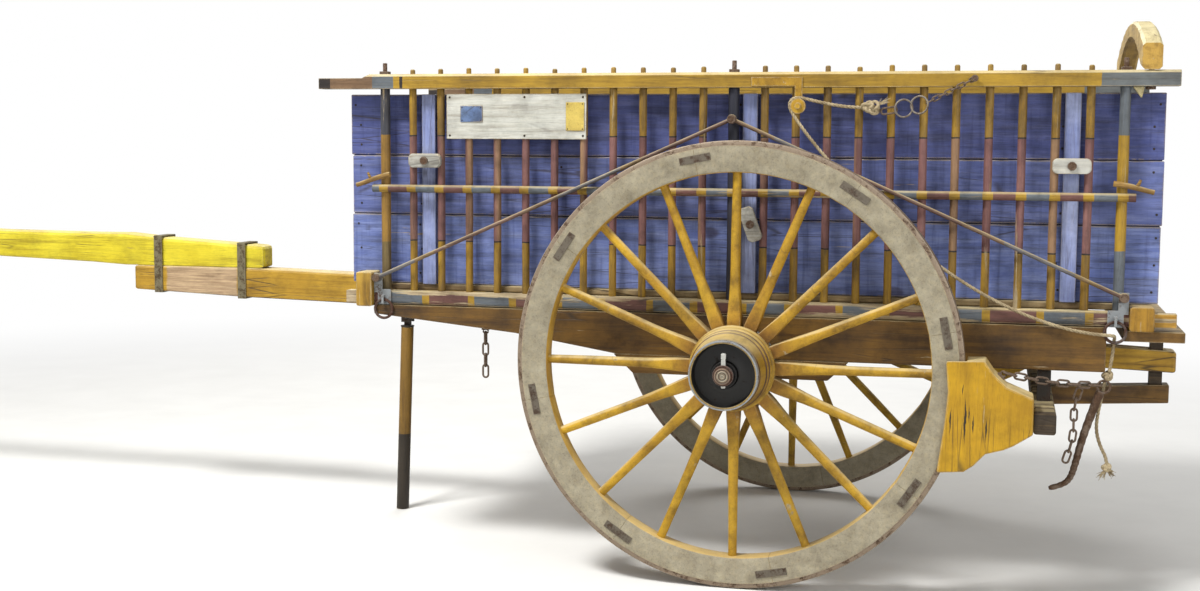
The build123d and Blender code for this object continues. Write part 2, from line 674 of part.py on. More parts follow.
def axle():
    """Square iron bar with a round journal, a collar and a slotted end on each side."""
    collar_outer = COLLAR_INNER_Y + AXLE_COLLAR_WIDTH
    end_y = HALF_TRACK + HUB_FRONT + AXLE_END_PAST_HUB
    shape = block(around(0, AXLE_BAR), around(0, 2 * COLLAR_INNER_Y), around(0, AXLE_BAR))
    slot = block(
        around(0, LINCHPIN_WIDTH + 2 * SEAT_GAP),
        around(linchpin_y(), LINCHPIN_THICKNESS + 2 * SEAT_GAP),
        around(0, 3 * AXLE_RADIUS),
    )
    collar = bar_along_y(0, 0, (COLLAR_INNER_Y, collar_outer), 2 * AXLE_COLLAR_RADIUS, WASHER_SIDES)
    journal = round_along_y(0, 0, (collar_outer, end_y), AXLE_RADIUS) - slot
    for piece in (collar, journal):
        shape = shape + piece + other_side(piece)
    return shape


def linchpin_y():
    """Distance of the linchpin from the centreline: just outside the washer."""
    washer_outer = BUSH_FRONT_Y + HUB_SIDE_PLAY + WASHER_THICKNESS
    return washer_outer + SEAT_GAP + LINCHPIN_THICKNESS / 2


def axle_washer():
    low = BUSH_FRONT_Y + HUB_SIDE_PLAY
    disc = bar_along_y(0, 0, (low, low + WASHER_THICKNESS), 2 * WASHER_RADIUS, WASHER_SIDES)
    return disc - bar_along_y(
        0, 0, (low - SPLIT_GAP, low + 2 * WASHER_THICKNESS), 2 * (AXLE_RADIUS + SEAT_GAP), WASHER_SIDES
    )


def linchpin():
    """Flat pin through the end of the axle, with a wider head."""
    low = -AXLE_RADIUS - LINCHPIN_BELOW
    high = AXLE_RADIUS + LINCHPIN_ABOVE
    neck = AXLE_RADIUS + LINCHPIN_ABOVE / 2
    half = LINCHPIN_WIDTH / 2
    head = LINCHPIN_HEAD_WIDTH / 2
    outline = [(-half, low), (half, low), (half, neck), (head, high), (-head, high), (-half, neck)]
    return side_view(outline, around(linchpin_y(), LINCHPIN_THICKNESS))


def make_axle():
    save("axle", [axle()])
    save_both("axle_pins", [axle_washer(), linchpin()])


# Pole


def pole_line(stations, x, column):
    """Height of a pole face at x, read from its stations."""
    for first, second in zip(stations, stations[1:]):
        if first[0] <= x <= second[0]:
            share = (x - first[0]) / (second[0] - first[0])
            return first[column] + share * (second[column] - first[column])
    return stations[-1][column]


def pole_beam(stations, width):
    """Beam between the lower and upper faces that its stations give."""
    outline = [(x, low) for x, low, high in stations]
    outline += [(x, high) for x, low, high in reversed(stations)]
    return side_view(outline, around(0, width))


def axle_notch(middle_y, width, z_range):
    """Room for the square axle in a beam that crosses it."""
    return block(around(0, AXLE_BAR + 2 * SEAT_GAP), around(middle_y, width + 2 * SPLIT_GAP), z_range)


def post_hole(z_range):
    """Square hole for the tail post."""
    size = TAIL_POST_WIDTH + 2 * SEAT_GAP
    return block(around(TAIL_POST_X, size), around(0, size), z_range)


def pole_main():
    """Long square beam from the tail to the splice, slightly deeper towards the front."""
    beam = pole_beam(POLE_STATIONS, POLE_WIDTH)
    beam -= axle_notch(0, POLE_WIDTH, (-2 * AXLE_BAR, AXLE_BAR / 2 + SEAT_GAP))
    return beam - post_hole((TAIL_POST_BOTTOM, REAR_BEAM_BOTTOM))


def pole_extension():
    """Upper beam spliced on the front of the main one, with holes for the yoke pins."""
    beam = pole_beam(EXTENSION_STATIONS, POLE_EXTENSION_WIDTH)
    for x in YOKE_HOLE_XS:
        low = pole_line(EXTENSION_STATIONS, x, 1) - POLE_WIDTH
        high = pole_line(EXTENSION_STATIONS, x, 2) + POLE_WIDTH
        beam -= rod((x, 0, low), (x, 0, high), YOKE_HOLE_RADIUS)
    return beam


def pole_bands():
    """Two iron hoops round the main beam and its extension."""
    pieces = []
    for x in BAND_XS:
        top = pole_line(EXTENSION_STATIONS, x + BAND_WIDTH / 2, 2) + SEAT_GAP
        bottom = pole_line(POLE_STATIONS, x - BAND_WIDTH / 2, 1) - SEAT_GAP
        inner = POLE_WIDTH + 2 * SEAT_GAP
        solid = block(
            around(x, BAND_WIDTH),
            around(0, inner + 2 * BAND_THICKNESS),
            (bottom - BAND_THICKNESS, top + BAND_THICKNESS),
        )
        pieces.append(solid - block(around(x, 2 * BAND_WIDTH), around(0, inner), (bottom, top)))
    return pieces


def make_pole():
    save("pole_main", [pole_main()])
    save("pole_extension", [pole_extension()])
    save("pole_bands", pole_bands())


# Bed


def side_beam():
    """Deep beam under the sill, tapering up to the front crossbeam."""
    front = FRONT_BEAM_BACK - SEAT_GAP
    outline = [
        (SIDE_BEAM_REAR, SIDE_BEAM_BOTTOM),
        (SIDE_BEAM_FLAT_END, SIDE_BEAM_BOTTOM),
        (SIDE_BEAM_KNEE_X, SIDE_BEAM_KNEE_Z),
        (front, SIDE_BEAM_FRONT_Z),
        (front, SIDE_BEAM_TOP),
        (SIDE_BEAM_REAR, SIDE_BEAM_TOP),
    ]
    beam = side_view(outline, around(RAIL_Y, SIDE_BEAM_WIDTH))
    return beam - axle_notch(RAIL_Y, SIDE_BEAM_WIDTH, (-AXLE_BAR, AXLE_BAR / 2 + SEAT_GAP))


def axle_block():
    """Bolster under the side beam that closes round the axle."""
    top = SIDE_BEAM_BOTTOM - SEAT_GAP
    outline = [
        (AXLE_BLOCK_REAR + AXLE_BLOCK_SLOPE, AXLE_BLOCK_BOTTOM),
        (AXLE_BLOCK_FRONT - AXLE_BLOCK_SLOPE, AXLE_BLOCK_BOTTOM),
        (AXLE_BLOCK_FRONT, top),
        (AXLE_BLOCK_REAR, top),
    ]
    piece = side_view(outline, around(RAIL_Y, SIDE_BEAM_WIDTH))
    return piece - axle_notch(RAIL_Y, SIDE_BEAM_WIDTH, (-AXLE_BAR / 2 - SEAT_GAP, AXLE_BAR))


def sill():
    """Lower rail that carries the stakes, with a square tenon at each end."""
    front = FRONT_BEAM_BACK - SEAT_GAP
    rear = REAR_BEAM_FRONT + SEAT_GAP
    body = block((rear, front), around(RAIL_Y, SILL_SIZE), (SILL_BOTTOM, SILL_TOP))
    body = fillet(body.edges().filter_by(Axis.X), SILL_ROUND)
    tenon = block((SILL_REAR, SILL_FRONT), around(RAIL_Y, TENON_WIDTH), around(SILL_MIDDLE, TENON_HEIGHT))
    return body + tenon


def pole_saddle(x, width, top):
    """Room for the pole in a beam that crosses over it."""
    return block(around(x, 2 * width), around(0, POLE_WIDTH + 2 * SEAT_GAP), (SIDE_BEAM_BOTTOM, top))


def crossbeam(x, width, bottom, height):
    """Beam across the bed with a mortise near each end for the sill's tenon."""
    reach = RAIL_Y + SILL_SIZE / 2 + CROSSBEAM_PAST_SILL
    beam = block(around(x, width), (-reach, reach), (bottom, bottom + height))
    beam = chamfer(beam.edges().filter_by(Axis.Y), CROSSBEAM_BEVEL)
    mortise = block(
        around(x, 2 * width),
        around(RAIL_Y, TENON_WIDTH + 2 * SEAT_GAP),
        around(SILL_MIDDLE, TENON_HEIGHT + 2 * SEAT_GAP),
    )
    return beam - mortise - other_side(mortise)


def front_crossbeam():
    beam = crossbeam(FRONT_BEAM_X, FRONT_BEAM_WIDTH, FRONT_BEAM_BOTTOM, FRONT_BEAM_HEIGHT)
    pole_top = pole_line(POLE_STATIONS, FRONT_BEAM_X + FRONT_BEAM_WIDTH / 2, 2) + SEAT_GAP
    return beam - pole_saddle(FRONT_BEAM_X, FRONT_BEAM_WIDTH, pole_top)


def joists():
    """Floor bearers between the side beams."""
    pieces = []
    pitch = (FRONT_BEAM_BACK - REAR_BEAM_FRONT) / (JOIST_COUNT + 1)
    reach = RAIL_Y - SILL_SIZE / 2 - SEAT_GAP
    top = FLOOR_BOTTOM - SEAT_GAP
    for index in range(JOIST_COUNT):
        x = REAR_BEAM_FRONT + pitch * (index + 1)
        bearer = block(around(x, JOIST_WIDTH), (-reach, reach), (top - JOIST_HEIGHT, top))
        pole_top = pole_line(POLE_STATIONS, x + JOIST_WIDTH / 2, 2) + SEAT_GAP
        if pole_top > top - JOIST_HEIGHT:
            bearer -= pole_saddle(x, JOIST_WIDTH, pole_top)
        pieces.append(bearer)
    return pieces


def floor_boards():
    """Lengthwise planks between the crossbeams."""
    pieces = []
    reach = RAIL_Y - CENTRE_POST_ACROSS / 2 - SPLIT_GAP
    width = 2 * reach / FLOOR_BOARD_COUNT
    x_range = (REAR_BEAM_FRONT + SEAT_GAP, FRONT_BEAM_BACK - SEAT_GAP)
    for index in range(FLOOR_BOARD_COUNT):
        middle = -reach + (index + 0.5) * width
        pieces.append(block(x_range, around(middle, width - SPLIT_GAP), (FLOOR_BOTTOM, FLOOR_TOP)))
    return pieces


def make_bed():
    save_both("side_beams", [side_beam()])
    save_both("axle_blocks", [axle_block()])
    save_both("sills", [sill()])
    save("crossbeam_front", [front_crossbeam()])
    save("crossbeam_rear", [crossbeam(REAR_BEAM_X, REAR_BEAM_WIDTH, REAR_BEAM_BOTTOM, REAR_BEAM_HEIGHT)])
    save("floor_joists", joists())
    save("floor_boards", floor_boards())


# Slatted sides


def stake_xs():
    """Place and width of every stake from the front, and whether an iron rod tops it."""
    places = []
    for index in range(STAKE_COUNT):
        across, iron = STAKE_ACROSS, False
        if index in (0, STAKE_COUNT - 1):
            across, iron = END_STAKE_ACROSS, True
        elif index == STAKE_COUNT // 2:
            across, iron = CENTRE_POST_ACROSS, True
        places.append((STAKE_FIRST_X - index * STAKE_PITCH, across, iron))
    return places


def stakes():
    """Eight-sided stakes between the rails, each with a peg through the top rail."""
    shoulder = RAIL_BOTTOM - SEAT_GAP
    top = TOP_RAIL_TOP + STAKE_PEG_ABOVE
    pieces = []
    for x, across, iron in stake_xs():
        if not iron:
            shaft = bar((x, RAIL_Y, FLOOR_BOTTOM), (x, RAIL_Y, shoulder), across)
            peg = bar((x, RAIL_Y, shoulder), (x, RAIL_Y, top), STAKE_PEG_ACROSS, PEG_SIDES)
            pieces.append(shaft + peg)
    return pieces


def end_stakes():
    """The thicker end stakes and centre post, whose iron rods go up through the rail."""
    shoulder = RAIL_BOTTOM - SEAT_GAP
    top = TOP_RAIL_TOP + END_NUT_THICKNESS + END_IRON_ABOVE
    pieces = []
    for x, across, iron in stake_xs():
        if iron:
            shaft = bar((x, RAIL_Y, FLOOR_BOTTOM), (x, RAIL_Y, shoulder), across)
            rod_end = bar((x, RAIL_Y, shoulder), (x, RAIL_Y, top), END_IRON_ACROSS, PEG_SIDES)
            pieces.append(shaft + rod_end)
    return pieces


def end_nuts():
    """Square nuts on the iron rods, resting on the top rail."""
    pieces = []
    low = TOP_RAIL_TOP + SEAT_GAP
    high = low + END_NUT_THICKNESS
    for x, across, iron in stake_xs():
        if iron:
            nut = block(around(x, END_NUT_ACROSS), around(RAIL_Y, END_NUT_ACROSS), (low, high))
            hole = END_IRON_ACROSS + 2 * SEAT_GAP
            pieces.append(nut - bar((x, RAIL_Y, low - 1), (x, RAIL_Y, high + 1), hole, PEG_SIDES))
    return pieces


def top_rail():
    """Top rail with a thinner front tip, bevelled edges and a hole for each stake and the arch's bolt."""
    rail = block(
        (TOP_RAIL_REAR, TOP_RAIL_FRONT), around(RAIL_Y, TOP_RAIL_WIDTH), (RAIL_BOTTOM, TOP_RAIL_TOP)
    )
    rail = chamfer(rail.edges().filter_by(Axis.X).group_by(Axis.Z)[-1], TOP_RAIL_BEVEL)
    tip_cut = [
        (TOP_RAIL_TIP_START, TOP_RAIL_TOP + SPLIT_GAP),
        (TOP_RAIL_TIP_START, TOP_RAIL_TOP),
        (TOP_RAIL_TIP_START + TOP_RAIL_TIP_SLOPE, TOP_RAIL_TIP_TOP),
        (TOP_RAIL_FRONT + SPLIT_GAP, TOP_RAIL_TIP_TOP),
        (TOP_RAIL_FRONT + SPLIT_GAP, TOP_RAIL_TOP + SPLIT_GAP),
    ]
    rail -= side_view(tip_cut, around(RAIL_Y, TOP_RAIL_WIDTH + 2 * SPLIT_GAP))
    low = RAIL_BOTTOM - TOP_RAIL_HEIGHT
    high = TOP_RAIL_TOP + TOP_RAIL_HEIGHT
    holes = [(ARCH_X, BOLT_ACROSS)]
    holes += [(x, END_IRON_ACROSS if iron else STAKE_PEG_ACROSS) for x, across, iron in stake_xs()]
    for x, across in holes:
        rail -= bar((x, RAIL_Y, low), (x, RAIL_Y, high), across + 2 * SEAT_GAP, PEG_SIDES)
    return rail


def mid_rail():
    """Round rail halfway up, flattened where it lies against the stakes."""
    flat = STAKE_OUTER + SEAT_GAP
    middle = flat + MID_RAIL_LAP
    front = STAKE_FIRST_X + END_STAKE_ACROSS / 2 + MID_RAIL_PAST
    rear = STAKE_LAST_X - END_STAKE_ACROSS / 2 - MID_RAIL_PAST
    high = around(MID_RAIL_Z, 4 * MID_RAIL_RADIUS)
    rail = rod((rear, middle, MID_RAIL_Z), (front, middle, MID_RAIL_Z), MID_RAIL_RADIUS)
    rail -= block((rear - 1, front + 1), (flat - 2 * MID_RAIL_RADIUS, flat), high)
    for x, across, iron in stake_xs():
        if iron:
            size = across + 2 * SEAT_GAP
            rail -= block(around(x, size), around(RAIL_Y, size), high)
    return rail


def side_boards():
    """Three wide planks, the lowest notched over the front crossbeam."""
    levels = [BOARD_BOTTOM] + BOARD_JOINTS + [BOARD_TOP]
    pieces = []
    for low, high in zip(levels, levels[1:]):
        top = high - SPLIT_GAP if high < BOARD_TOP else high
        pieces.append(block((BOARD_REAR, BOARD_FRONT), (BOARD_INNER, BOARD_OUTER), (low, top)))
    beam_top = FRONT_BEAM_BOTTOM + FRONT_BEAM_HEIGHT + SEAT_GAP
    pieces[0] -= block(
        around(FRONT_BEAM_X, FRONT_BEAM_WIDTH + 2 * SEAT_GAP),
        (BOARD_INNER - SPLIT_GAP, BOARD_OUTER + SPLIT_GAP),
        (SILL_BOTTOM, beam_top),
    )
    return pieces


def battens():
    """Upright strips between the planks and the stakes."""
    y_range = (BOARD_OUTER + SEAT_GAP, BATTEN_OUTER)
    return [block(around(x, BATTEN_WIDTH), y_range, (BOARD_BOTTOM, BOARD_TOP)) for x in BATTEN_XS]


def toggles():
    """Turning bars that hold the battens against the stakes."""
    pieces = []
    for batten_x, (offset, rise, turn) in zip(BATTEN_XS, TOGGLES):
        piece = Box(TOGGLE_LENGTH, TOGGLE_THICKNESS, TOGGLE_HEIGHT)
        piece = chamfer(piece.edges().filter_by(Axis.Y), TOGGLE_CORNER)
        piece -= bar_along_y(0, 0, around(0, 2 * TOGGLE_THICKNESS), BOLT_ACROSS + 2 * SEAT_GAP, PEG_SIDES)
        place = Pos(batten_x + offset, TOGGLE_INNER + TOGGLE_THICKNESS / 2, MID_RAIL_Z + rise)
        pieces.append(place * Rot(0, turn, 0) * piece)
    return pieces


def bolt(x, z, inner, head_y, turn=0.0):
    """Bolt across the cart with a many-sided head."""
    shank = bar_along_y(0, 0, (inner, head_y), BOLT_ACROSS, PEG_SIDES)
    head = bar_along_y(0, 0, (head_y, head_y + BOLT_HEAD_HEIGHT), BOLT_HEAD_ACROSS)
    return Pos(x, 0, z) * Rot(0, turn, 0) * (shank + head)


def toggle_bolts():
    head_y = TOGGLE_INNER + TOGGLE_THICKNESS + SEAT_GAP
    pieces = []
    for batten_x, (offset, rise, turn) in zip(BATTEN_XS, TOGGLES):
        pieces.append(bolt(batten_x + offset, MID_RAIL_Z + rise, BATTEN_OUTER + SEAT_GAP, head_y, turn))
    return pieces


def stay_rod():
    """Iron stay from the front shoe over the centre post to the rear shoe."""
    y_range = around(STAY_Y, STAY_EYE_THICKNESS)
    apex_x, apex_z = STAY_POINTS[1]
    shape = bar_along_y(apex_x, apex_z, y_range, STAY_EYE_ACROSS)
    for x, z in (STAY_POINTS[0], STAY_POINTS[2]):
        shape += bar_along_y(x, z, y_range, STAY_EYE_ACROSS)
        shape += bar((x, STAY_Y, z), (apex_x, STAY_Y, apex_z), STAY_ACROSS)
    for x, z in STAY_POINTS:
        shape -= bar_along_y(
            x, z, around(STAY_Y, 2 * STAY_EYE_THICKNESS), BOLT_ACROSS + 2 * SEAT_GAP, PEG_SIDES
        )
    return shape


def stay_bolts():
    """Bolts through the eyes of the stay."""
    inner_ends = [
        SHOE_OUTER_Y + SEAT_GAP,
        RAIL_Y + CENTRE_POST_ACROSS / 2 + SEAT_GAP,
        SHOE_OUTER_Y + SEAT_GAP,
    ]
    head_y = STAY_Y + STAY_EYE_THICKNESS / 2 + SEAT_GAP
    return [bolt(x, z, inner, head_y) for (x, z), inner in zip(STAY_POINTS, inner_ends)]


def shoes():
    """Iron plates on the ends of the sills, with a tab for the stay and a staple for the ring."""
    pieces = []
    y_range = (SHOE_INNER_Y, SHOE_OUTER_Y)
    for x, (tab_x, tab_z) in ((SHOE_FRONT_X, STAY_POINTS[0]), (SHOE_REAR_X, STAY_POINTS[2])):
        plate = block(around(x, SHOE_WIDTH), y_range, (SILL_TOP - SHOE_HEIGHT, SILL_TOP + SHOE_ABOVE_SILL))
        tab = block(
            around(tab_x, STAY_EYE_ACROSS),
            y_range,
            (SILL_TOP - 2 * SHOE_ABOVE_SILL, tab_z + STAY_EYE_ACROSS / 2),
        )
        reach = SHOE_OUTER_Y + STAPLE_REACH
        staple = block(
            around(x, STAPLE_WIRE), (SHOE_INNER_Y, reach), around(STAPLE_Z, STAPLE_WIDTH + 2 * STAPLE_WIRE)
        )
        staple -= block(
            around(x, 2 * STAPLE_WIRE), (SHOE_OUTER_Y, reach - STAPLE_WIRE), around(STAPLE_Z, STAPLE_WIDTH)
        )
        pieces.append(plate + tab + staple)
    return pieces


def shoe_rings():
    """Loose iron rings hanging in the staples."""
    y = SHOE_OUTER_Y + STAPLE_REACH - STAPLE_WIRE - RING_WIRE - SEAT_GAP
    low_bar = STAPLE_Z - STAPLE_WIDTH / 2
    inside = (RING_RADIUS + RING_WIRE) * math.cos(math.pi / RING_SIDES)
    z = low_bar + SEAT_GAP + 2 * RING_WIRE - inside
    return [Pos(x, y, z) * Rot(90, 0, 0) * hoop(RING_RADIUS, RING_WIRE) for x in (SHOE_FRONT_X, SHOE_REAR_X)]


def hook_pegs():
    """Forked branch pegs lashed across the end stakes."""
    pieces = []
    y = RAIL_Y + END_STAKE_ACROSS / 2 + SEAT_GAP + HOOK_PEG_ACROSS / 2
    for stake_x, (inner, inner_rise, outer, outer_rise) in zip((STAKE_FIRST_X, STAKE_LAST_X), HOOK_PEGS):
        start = Vector(stake_x + inner, y, MID_RAIL_Z + inner_rise)
        end = Vector(stake_x + outer, y, MID_RAIL_Z + outer_rise)
        fork = start + (end - start) * HOOK_FORK_PLACE
        fork_end = fork + (end - start) * HOOK_FORK_REACH + Vector(0, 0, HOOK_FORK_RISE)
        branch = bar(tuple(start), tuple(end), HOOK_PEG_ACROSS)
        pieces.append(branch + bar(tuple(fork), tuple(fork_end), HOOK_FORK_ACROSS))
    return pieces


def sign():
    """Plain board fixed on the stakes, with two small blank plates."""
    y = STAKE_OUTER + SEAT_GAP
    plate_y = y + SIGN_THICKNESS + SEAT_GAP
    board = block((SIGN_REAR, SIGN_FRONT), (y, y + SIGN_THICKNESS), (SIGN_TOP - SIGN_HEIGHT, SIGN_TOP))
    plates = [
        block((rear, front), (plate_y, plate_y + SIGN_PLATE_THICKNESS), (low, high))
        for rear, front, low, high in SIGN_PLATES
    ]
    return [board] + plates


def make_sides():
    save_pair("stakes", stakes())
    save_both("end_stakes", end_stakes())
    save_both("end_nuts", end_nuts())
    save_both("top_rails", [top_rail()])
    save_both("mid_rails", [mid_rail()])
    save_pair("side_boards", side_boards())
    save_both("battens", battens())
    save_both("toggles", toggles())
    save_both("toggle_bolts", toggle_bolts())
    save_both("stay_rods", [stay_rod()])
    save_both("stay_bolts", stay_bolts())
    save_both("sill_shoes", shoes())
    save_both("shoe_rings", shoe_rings())
    save_both("hook_pegs", hook_pegs())
    save("sign_board", sign())


# Rear arch


def arch():
    """Bowed timber over the rear ends of the top rails."""
    x = ARCH_X - ARCH_DEPTH / 2
    outer = RAIL_Y + ARCH_THICKNESS / 2
    inner = RAIL_Y - ARCH_THICKNESS / 2
    foot = TOP_RAIL_TOP + SEAT_GAP
    shoulder = foot + ARCH_END_HEIGHT
    crown = ARCH_TOP - ARCH_THICKNESS
    edges = [
        Line((x, -outer, foot), (x, -outer, shoulder)),
        ThreePointArc((x, -outer, shoulder), (x, 0, ARCH_TOP), (x, outer, shoulder)),
        Line((x, outer, shoulder), (x, outer, foot)),
        Line((x, outer, foot), (x, inner, foot)),
        ThreePointArc((x, inner, foot), (x, 0, crown), (x, -inner, foot)),
        Line((x, -inner, foot), (x, -outer, foot)),
    ]
    bow = extrude(make_face(edges), amount=ARCH_DEPTH, dir=(1, 0, 0))
    hole = bar(
        (ARCH_X, RAIL_Y, TOP_RAIL_TOP - SPLIT_GAP),
        (ARCH_X, RAIL_Y, ARCH_BOLT_TOP + SEAT_GAP),
        BOLT_ACROSS + 2 * SEAT_GAP,
        PEG_SIDES,
    )
    return bow - hole - other_side(hole)


def arch_bolt():
    """Bolt from under the top rail into the foot of the arch, with its nut."""
    nut_top = RAIL_BOTTOM - SEAT_GAP
    nut_low = nut_top - ARCH_NUT_HEIGHT
    shank = bar((ARCH_X, RAIL_Y, nut_low), (ARCH_X, RAIL_Y, ARCH_BOLT_TOP), BOLT_ACROSS, PEG_SIDES)
    return shank + bar((ARCH_X, RAIL_Y, nut_low), (ARCH_X, RAIL_Y, nut_top), ARCH_NUT_ACROSS, PEG_SIDES)


def arch_tooth():
    """Pointed wooden cleat under the rear of the top rail."""
    top = RAIL_BOTTOM - SEAT_GAP
    outline = [(TOOTH_REAR, top), (TOOTH_FRONT, top), (TOOTH_REAR + TOOTH_SLOPE, top - TOOTH_HEIGHT)]
    return side_view(outline, around(RAIL_Y, TOOTH_THICKNESS))


def make_arch():
    save("rear_arch", [arch()])
    save_both("arch_bolts", [arch_bolt()])
    save_both("arch_teeth", [arch_tooth()])


# Tail of the bed and the brake


def rear_sleeper():
    """Plank under the rear crossbeam that holds the tail post."""
    top = REAR_BEAM_BOTTOM - SEAT_GAP
    reach = RAIL_Y + SLEEPER_PAST_RAIL
    plank = block((SLEEPER_REAR, SLEEPER_FRONT), (-reach, reach), (top - SLEEPER_THICKNESS, top))
    return plank - post_hole((top - 2 * SLEEPER_THICKNESS, top + SLEEPER_THICKNESS))


def tail_post():
    """Upright post through the sleeper, the tail of the pole and the brake arm."""
    return block(
        around(TAIL_POST_X, TAIL_POST_WIDTH), around(0, TAIL_POST_WIDTH), (TAIL_POST_BOTTOM, REAR_BEAM_BOTTOM)
    )


def brake_block():
    """Heavy wooden shoe with an arched groove that takes the tyre and a lip outside the rim."""
    outer = BRAKE_BLOCK_OUTER_Y
    inner = outer - BRAKE_BLOCK_WIDTH
    back = BRAKE_BEAM_X + BRAKE_BEAM_SIZE / 2 + SEAT_GAP
    points = [(ahead - WHEEL_RADIUS, z) for ahead, z in BRAKE_OUTLINE]
    points += [(back, BRAKE_BACK_LOW), (back, BRAKE_BACK_HIGH)]
    points += [(ahead - WHEEL_RADIUS, z) for ahead, z in BRAKE_OUTLINE_TOP]
    rim_side = HALF_TRACK + FELLOE_WIDTH / 2 + CRAMP_THICKNESS + BRAKE_WHEEL_GAP
    groove = round_along_y(0, 0, (inner - SPLIT_GAP, rim_side), WHEEL_RADIUS + BRAKE_WHEEL_GAP)
    return side_view(points, (inner, outer)) - groove


def brake_beam():
    reach = BRAKE_BLOCK_OUTER_Y - BRAKE_BEAM_INSET
    beam = block(
        around(BRAKE_BEAM_X, BRAKE_BEAM_SIZE), (-reach, reach), around(BRAKE_BEAM_Z, BRAKE_BEAM_SIZE)
    )
    return chamfer(beam.edges().filter_by(Axis.Y), BRAKE_BEAM_BEVEL)


def brake_arm():
    """Arm from the middle of the brake beam to the tail post."""
    front = BRAKE_BEAM_X - BRAKE_BEAM_SIZE / 2 - SEAT_GAP
    rear = TAIL_POST_X - BRAKE_ARM_PAST_POST
    front_low, front_high = around(BRAKE_BEAM_Z - BRAKE_ARM_FRONT_DROP, BRAKE_ARM_DEPTH)
    rear_low, rear_high = around(TAIL_POST_BOTTOM + BRAKE_ARM_REAR_RISE, BRAKE_ARM_DEPTH)
    outline = [(front, front_low), (front, front_high), (rear, rear_high), (rear, rear_low)]
    arm = side_view(outline, around(0, BRAKE_ARM_WIDTH))
    return arm - post_hole((front_low - BRAKE_ARM_DEPTH, rear_high + BRAKE_ARM_DEPTH))


def brake_hanger():
    """Iron strap that hangs the brake beam from the side beam."""
    low = BRAKE_BEAM_Z + BRAKE_BEAM_SIZE / 2 + SEAT_GAP
    high = SIDE_BEAM_BOTTOM - SEAT_GAP
    return block(around(BRAKE_BEAM_X, HANGER_WIDTH), around(RAIL_Y, HANGER_THICKNESS), (low, high))


def brake_hook():
    """Long iron hook that hangs from the brake rope on the left side."""
    path = Polyline([(x, HOOK_Y, z) for x, z in HOOK_POINTS])
    section = Plane(origin=path @ 0, x_dir=(0, 1, 0), z_dir=path % 0) * RegularPolygon(HOOK_ACROSS / 2, 8)
    shank = sweep(section, path=path, transition=Transition.RIGHT)
    eye = Pos(HOOK_EYE_X, HOOK_Y, HOOK_EYE_Z) * Rot(90, 0, 0) * hoop(HOOK_EYE_RADIUS, HOOK_EYE_WIRE)
    return shank + eye


def make_tail():
    save("rear_sleeper", [rear_sleeper()])
    save("tail_post", [tail_post()])
    save_pair("brake_block", [brake_block()])
    save("brake_beam", [brake_beam()])
    save("brake_arm", [brake_arm()])
    save_both("brake_hangers", [brake_hanger()])
    save("brake_hook", [brake_hook()])


# Pulley under the left top rail


def pulley():
    """Iron strap on the rail, its pin and a grooved wheel for the brake rope."""
    inner = RAIL_OUTER_Y + SEAT_GAP
    outer = inner + PULLEY_STRAP_THICKNESS
    high = RAIL_BOTTOM + PULLEY_PLATE_HIGH
    plate = block(
        (PULLEY_X, PULLEY_X + PULLEY_PLATE_LENGTH), (inner, outer), (RAIL_BOTTOM + PULLEY_PLATE_LOW, high)
    )
    strap = block(
        around(PULLEY_X, PULLEY_STRAP_WIDTH), (inner, outer), (PULLEY_Z - PULLEY_STRAP_WIDTH / 2, high)
    )
    disc_outer = outer + SEAT_GAP + PULLEY_THICKNESS
    head_inner = disc_outer + SEAT_GAP
    pin = round_along_y(PULLEY_X, PULLEY_Z, (outer - SPLIT_GAP, head_inner), PULLEY_PIN_RADIUS)
    head = bar_along_y(PULLEY_X, PULLEY_Z, (head_inner, head_inner + PULLEY_PIN_PAST), PULLEY_PIN_HEAD)
    half = PULLEY_THICKNESS / 2
    bore = PULLEY_PIN_RADIUS + SEAT_GAP
    outline = Polyline(
        (bore, -half), (PULLEY_RADIUS, -half), (PULLEY_RADIUS - PULLEY_GROOVE, 0),
        (PULLEY_RADIUS, half), (bore, half), close=True,
    )
    disc = revolve(make_face(Plane.XZ * outline), Axis.Z)
    return [plate + strap + pin + head, Pos(PULLEY_X, disc_outer - half, PULLEY_Z) * Rot(-90, 0, 0) * disc]


# Prop leg


def prop_bracket():
    """Iron fork under the pole that carries the pin of the prop leg."""
    top = pole_line(POLE_STATIONS, PROP_X - PROP_PLATE_LENGTH / 2, 1) - SEAT_GAP
    ear_inner = PROP_EYE_THICKNESS / 2 + PROP_EAR_GAP
    ear_outer = ear_inner + PROP_EAR_THICKNESS
    shape = block(
        around(PROP_X, PROP_PLATE_LENGTH),
        around(0, 2 * (ear_outer + PROP_PLATE_PAST_EAR)),
        (top - PROP_PLATE_THICKNESS, top),
    )
    ear = block(
        around(PROP_X, PROP_EAR_WIDTH),
        (ear_inner, ear_outer),
        (PROP_HINGE_Z - PROP_EAR_WIDTH / 2, top - PROP_PLATE_THICKNESS / 2),
    )
    shape += ear
    shape += other_side(ear)
    return shape + round_along_y(
        PROP_X, PROP_HINGE_Z, around(0, 2 * (ear_outer + PROP_PIN_PAST_EAR)), PROP_PIN_RADIUS
    )


def prop_x(z):
    """Middle of the leaning leg at a height."""
    return PROP_X + PROP_LEAN * (PROP_HINGE_Z - z) / (PROP_HINGE_Z + WHEEL_RADIUS)


def prop_leg():
    """Round wooden leg leaning a little forward, cut level with the ground."""
    below = -WHEEL_RADIUS - PROP_RADIUS
    wood = rod((prop_x(PROP_WOOD_TOP), 0, PROP_WOOD_TOP), (prop_x(below), 0, below), PROP_RADIUS)
    size = 4 * PROP_RADIUS
    ground = -WHEEL_RADIUS
    return wood - block(around(prop_x(ground), size), around(0, size), (ground - size, ground))


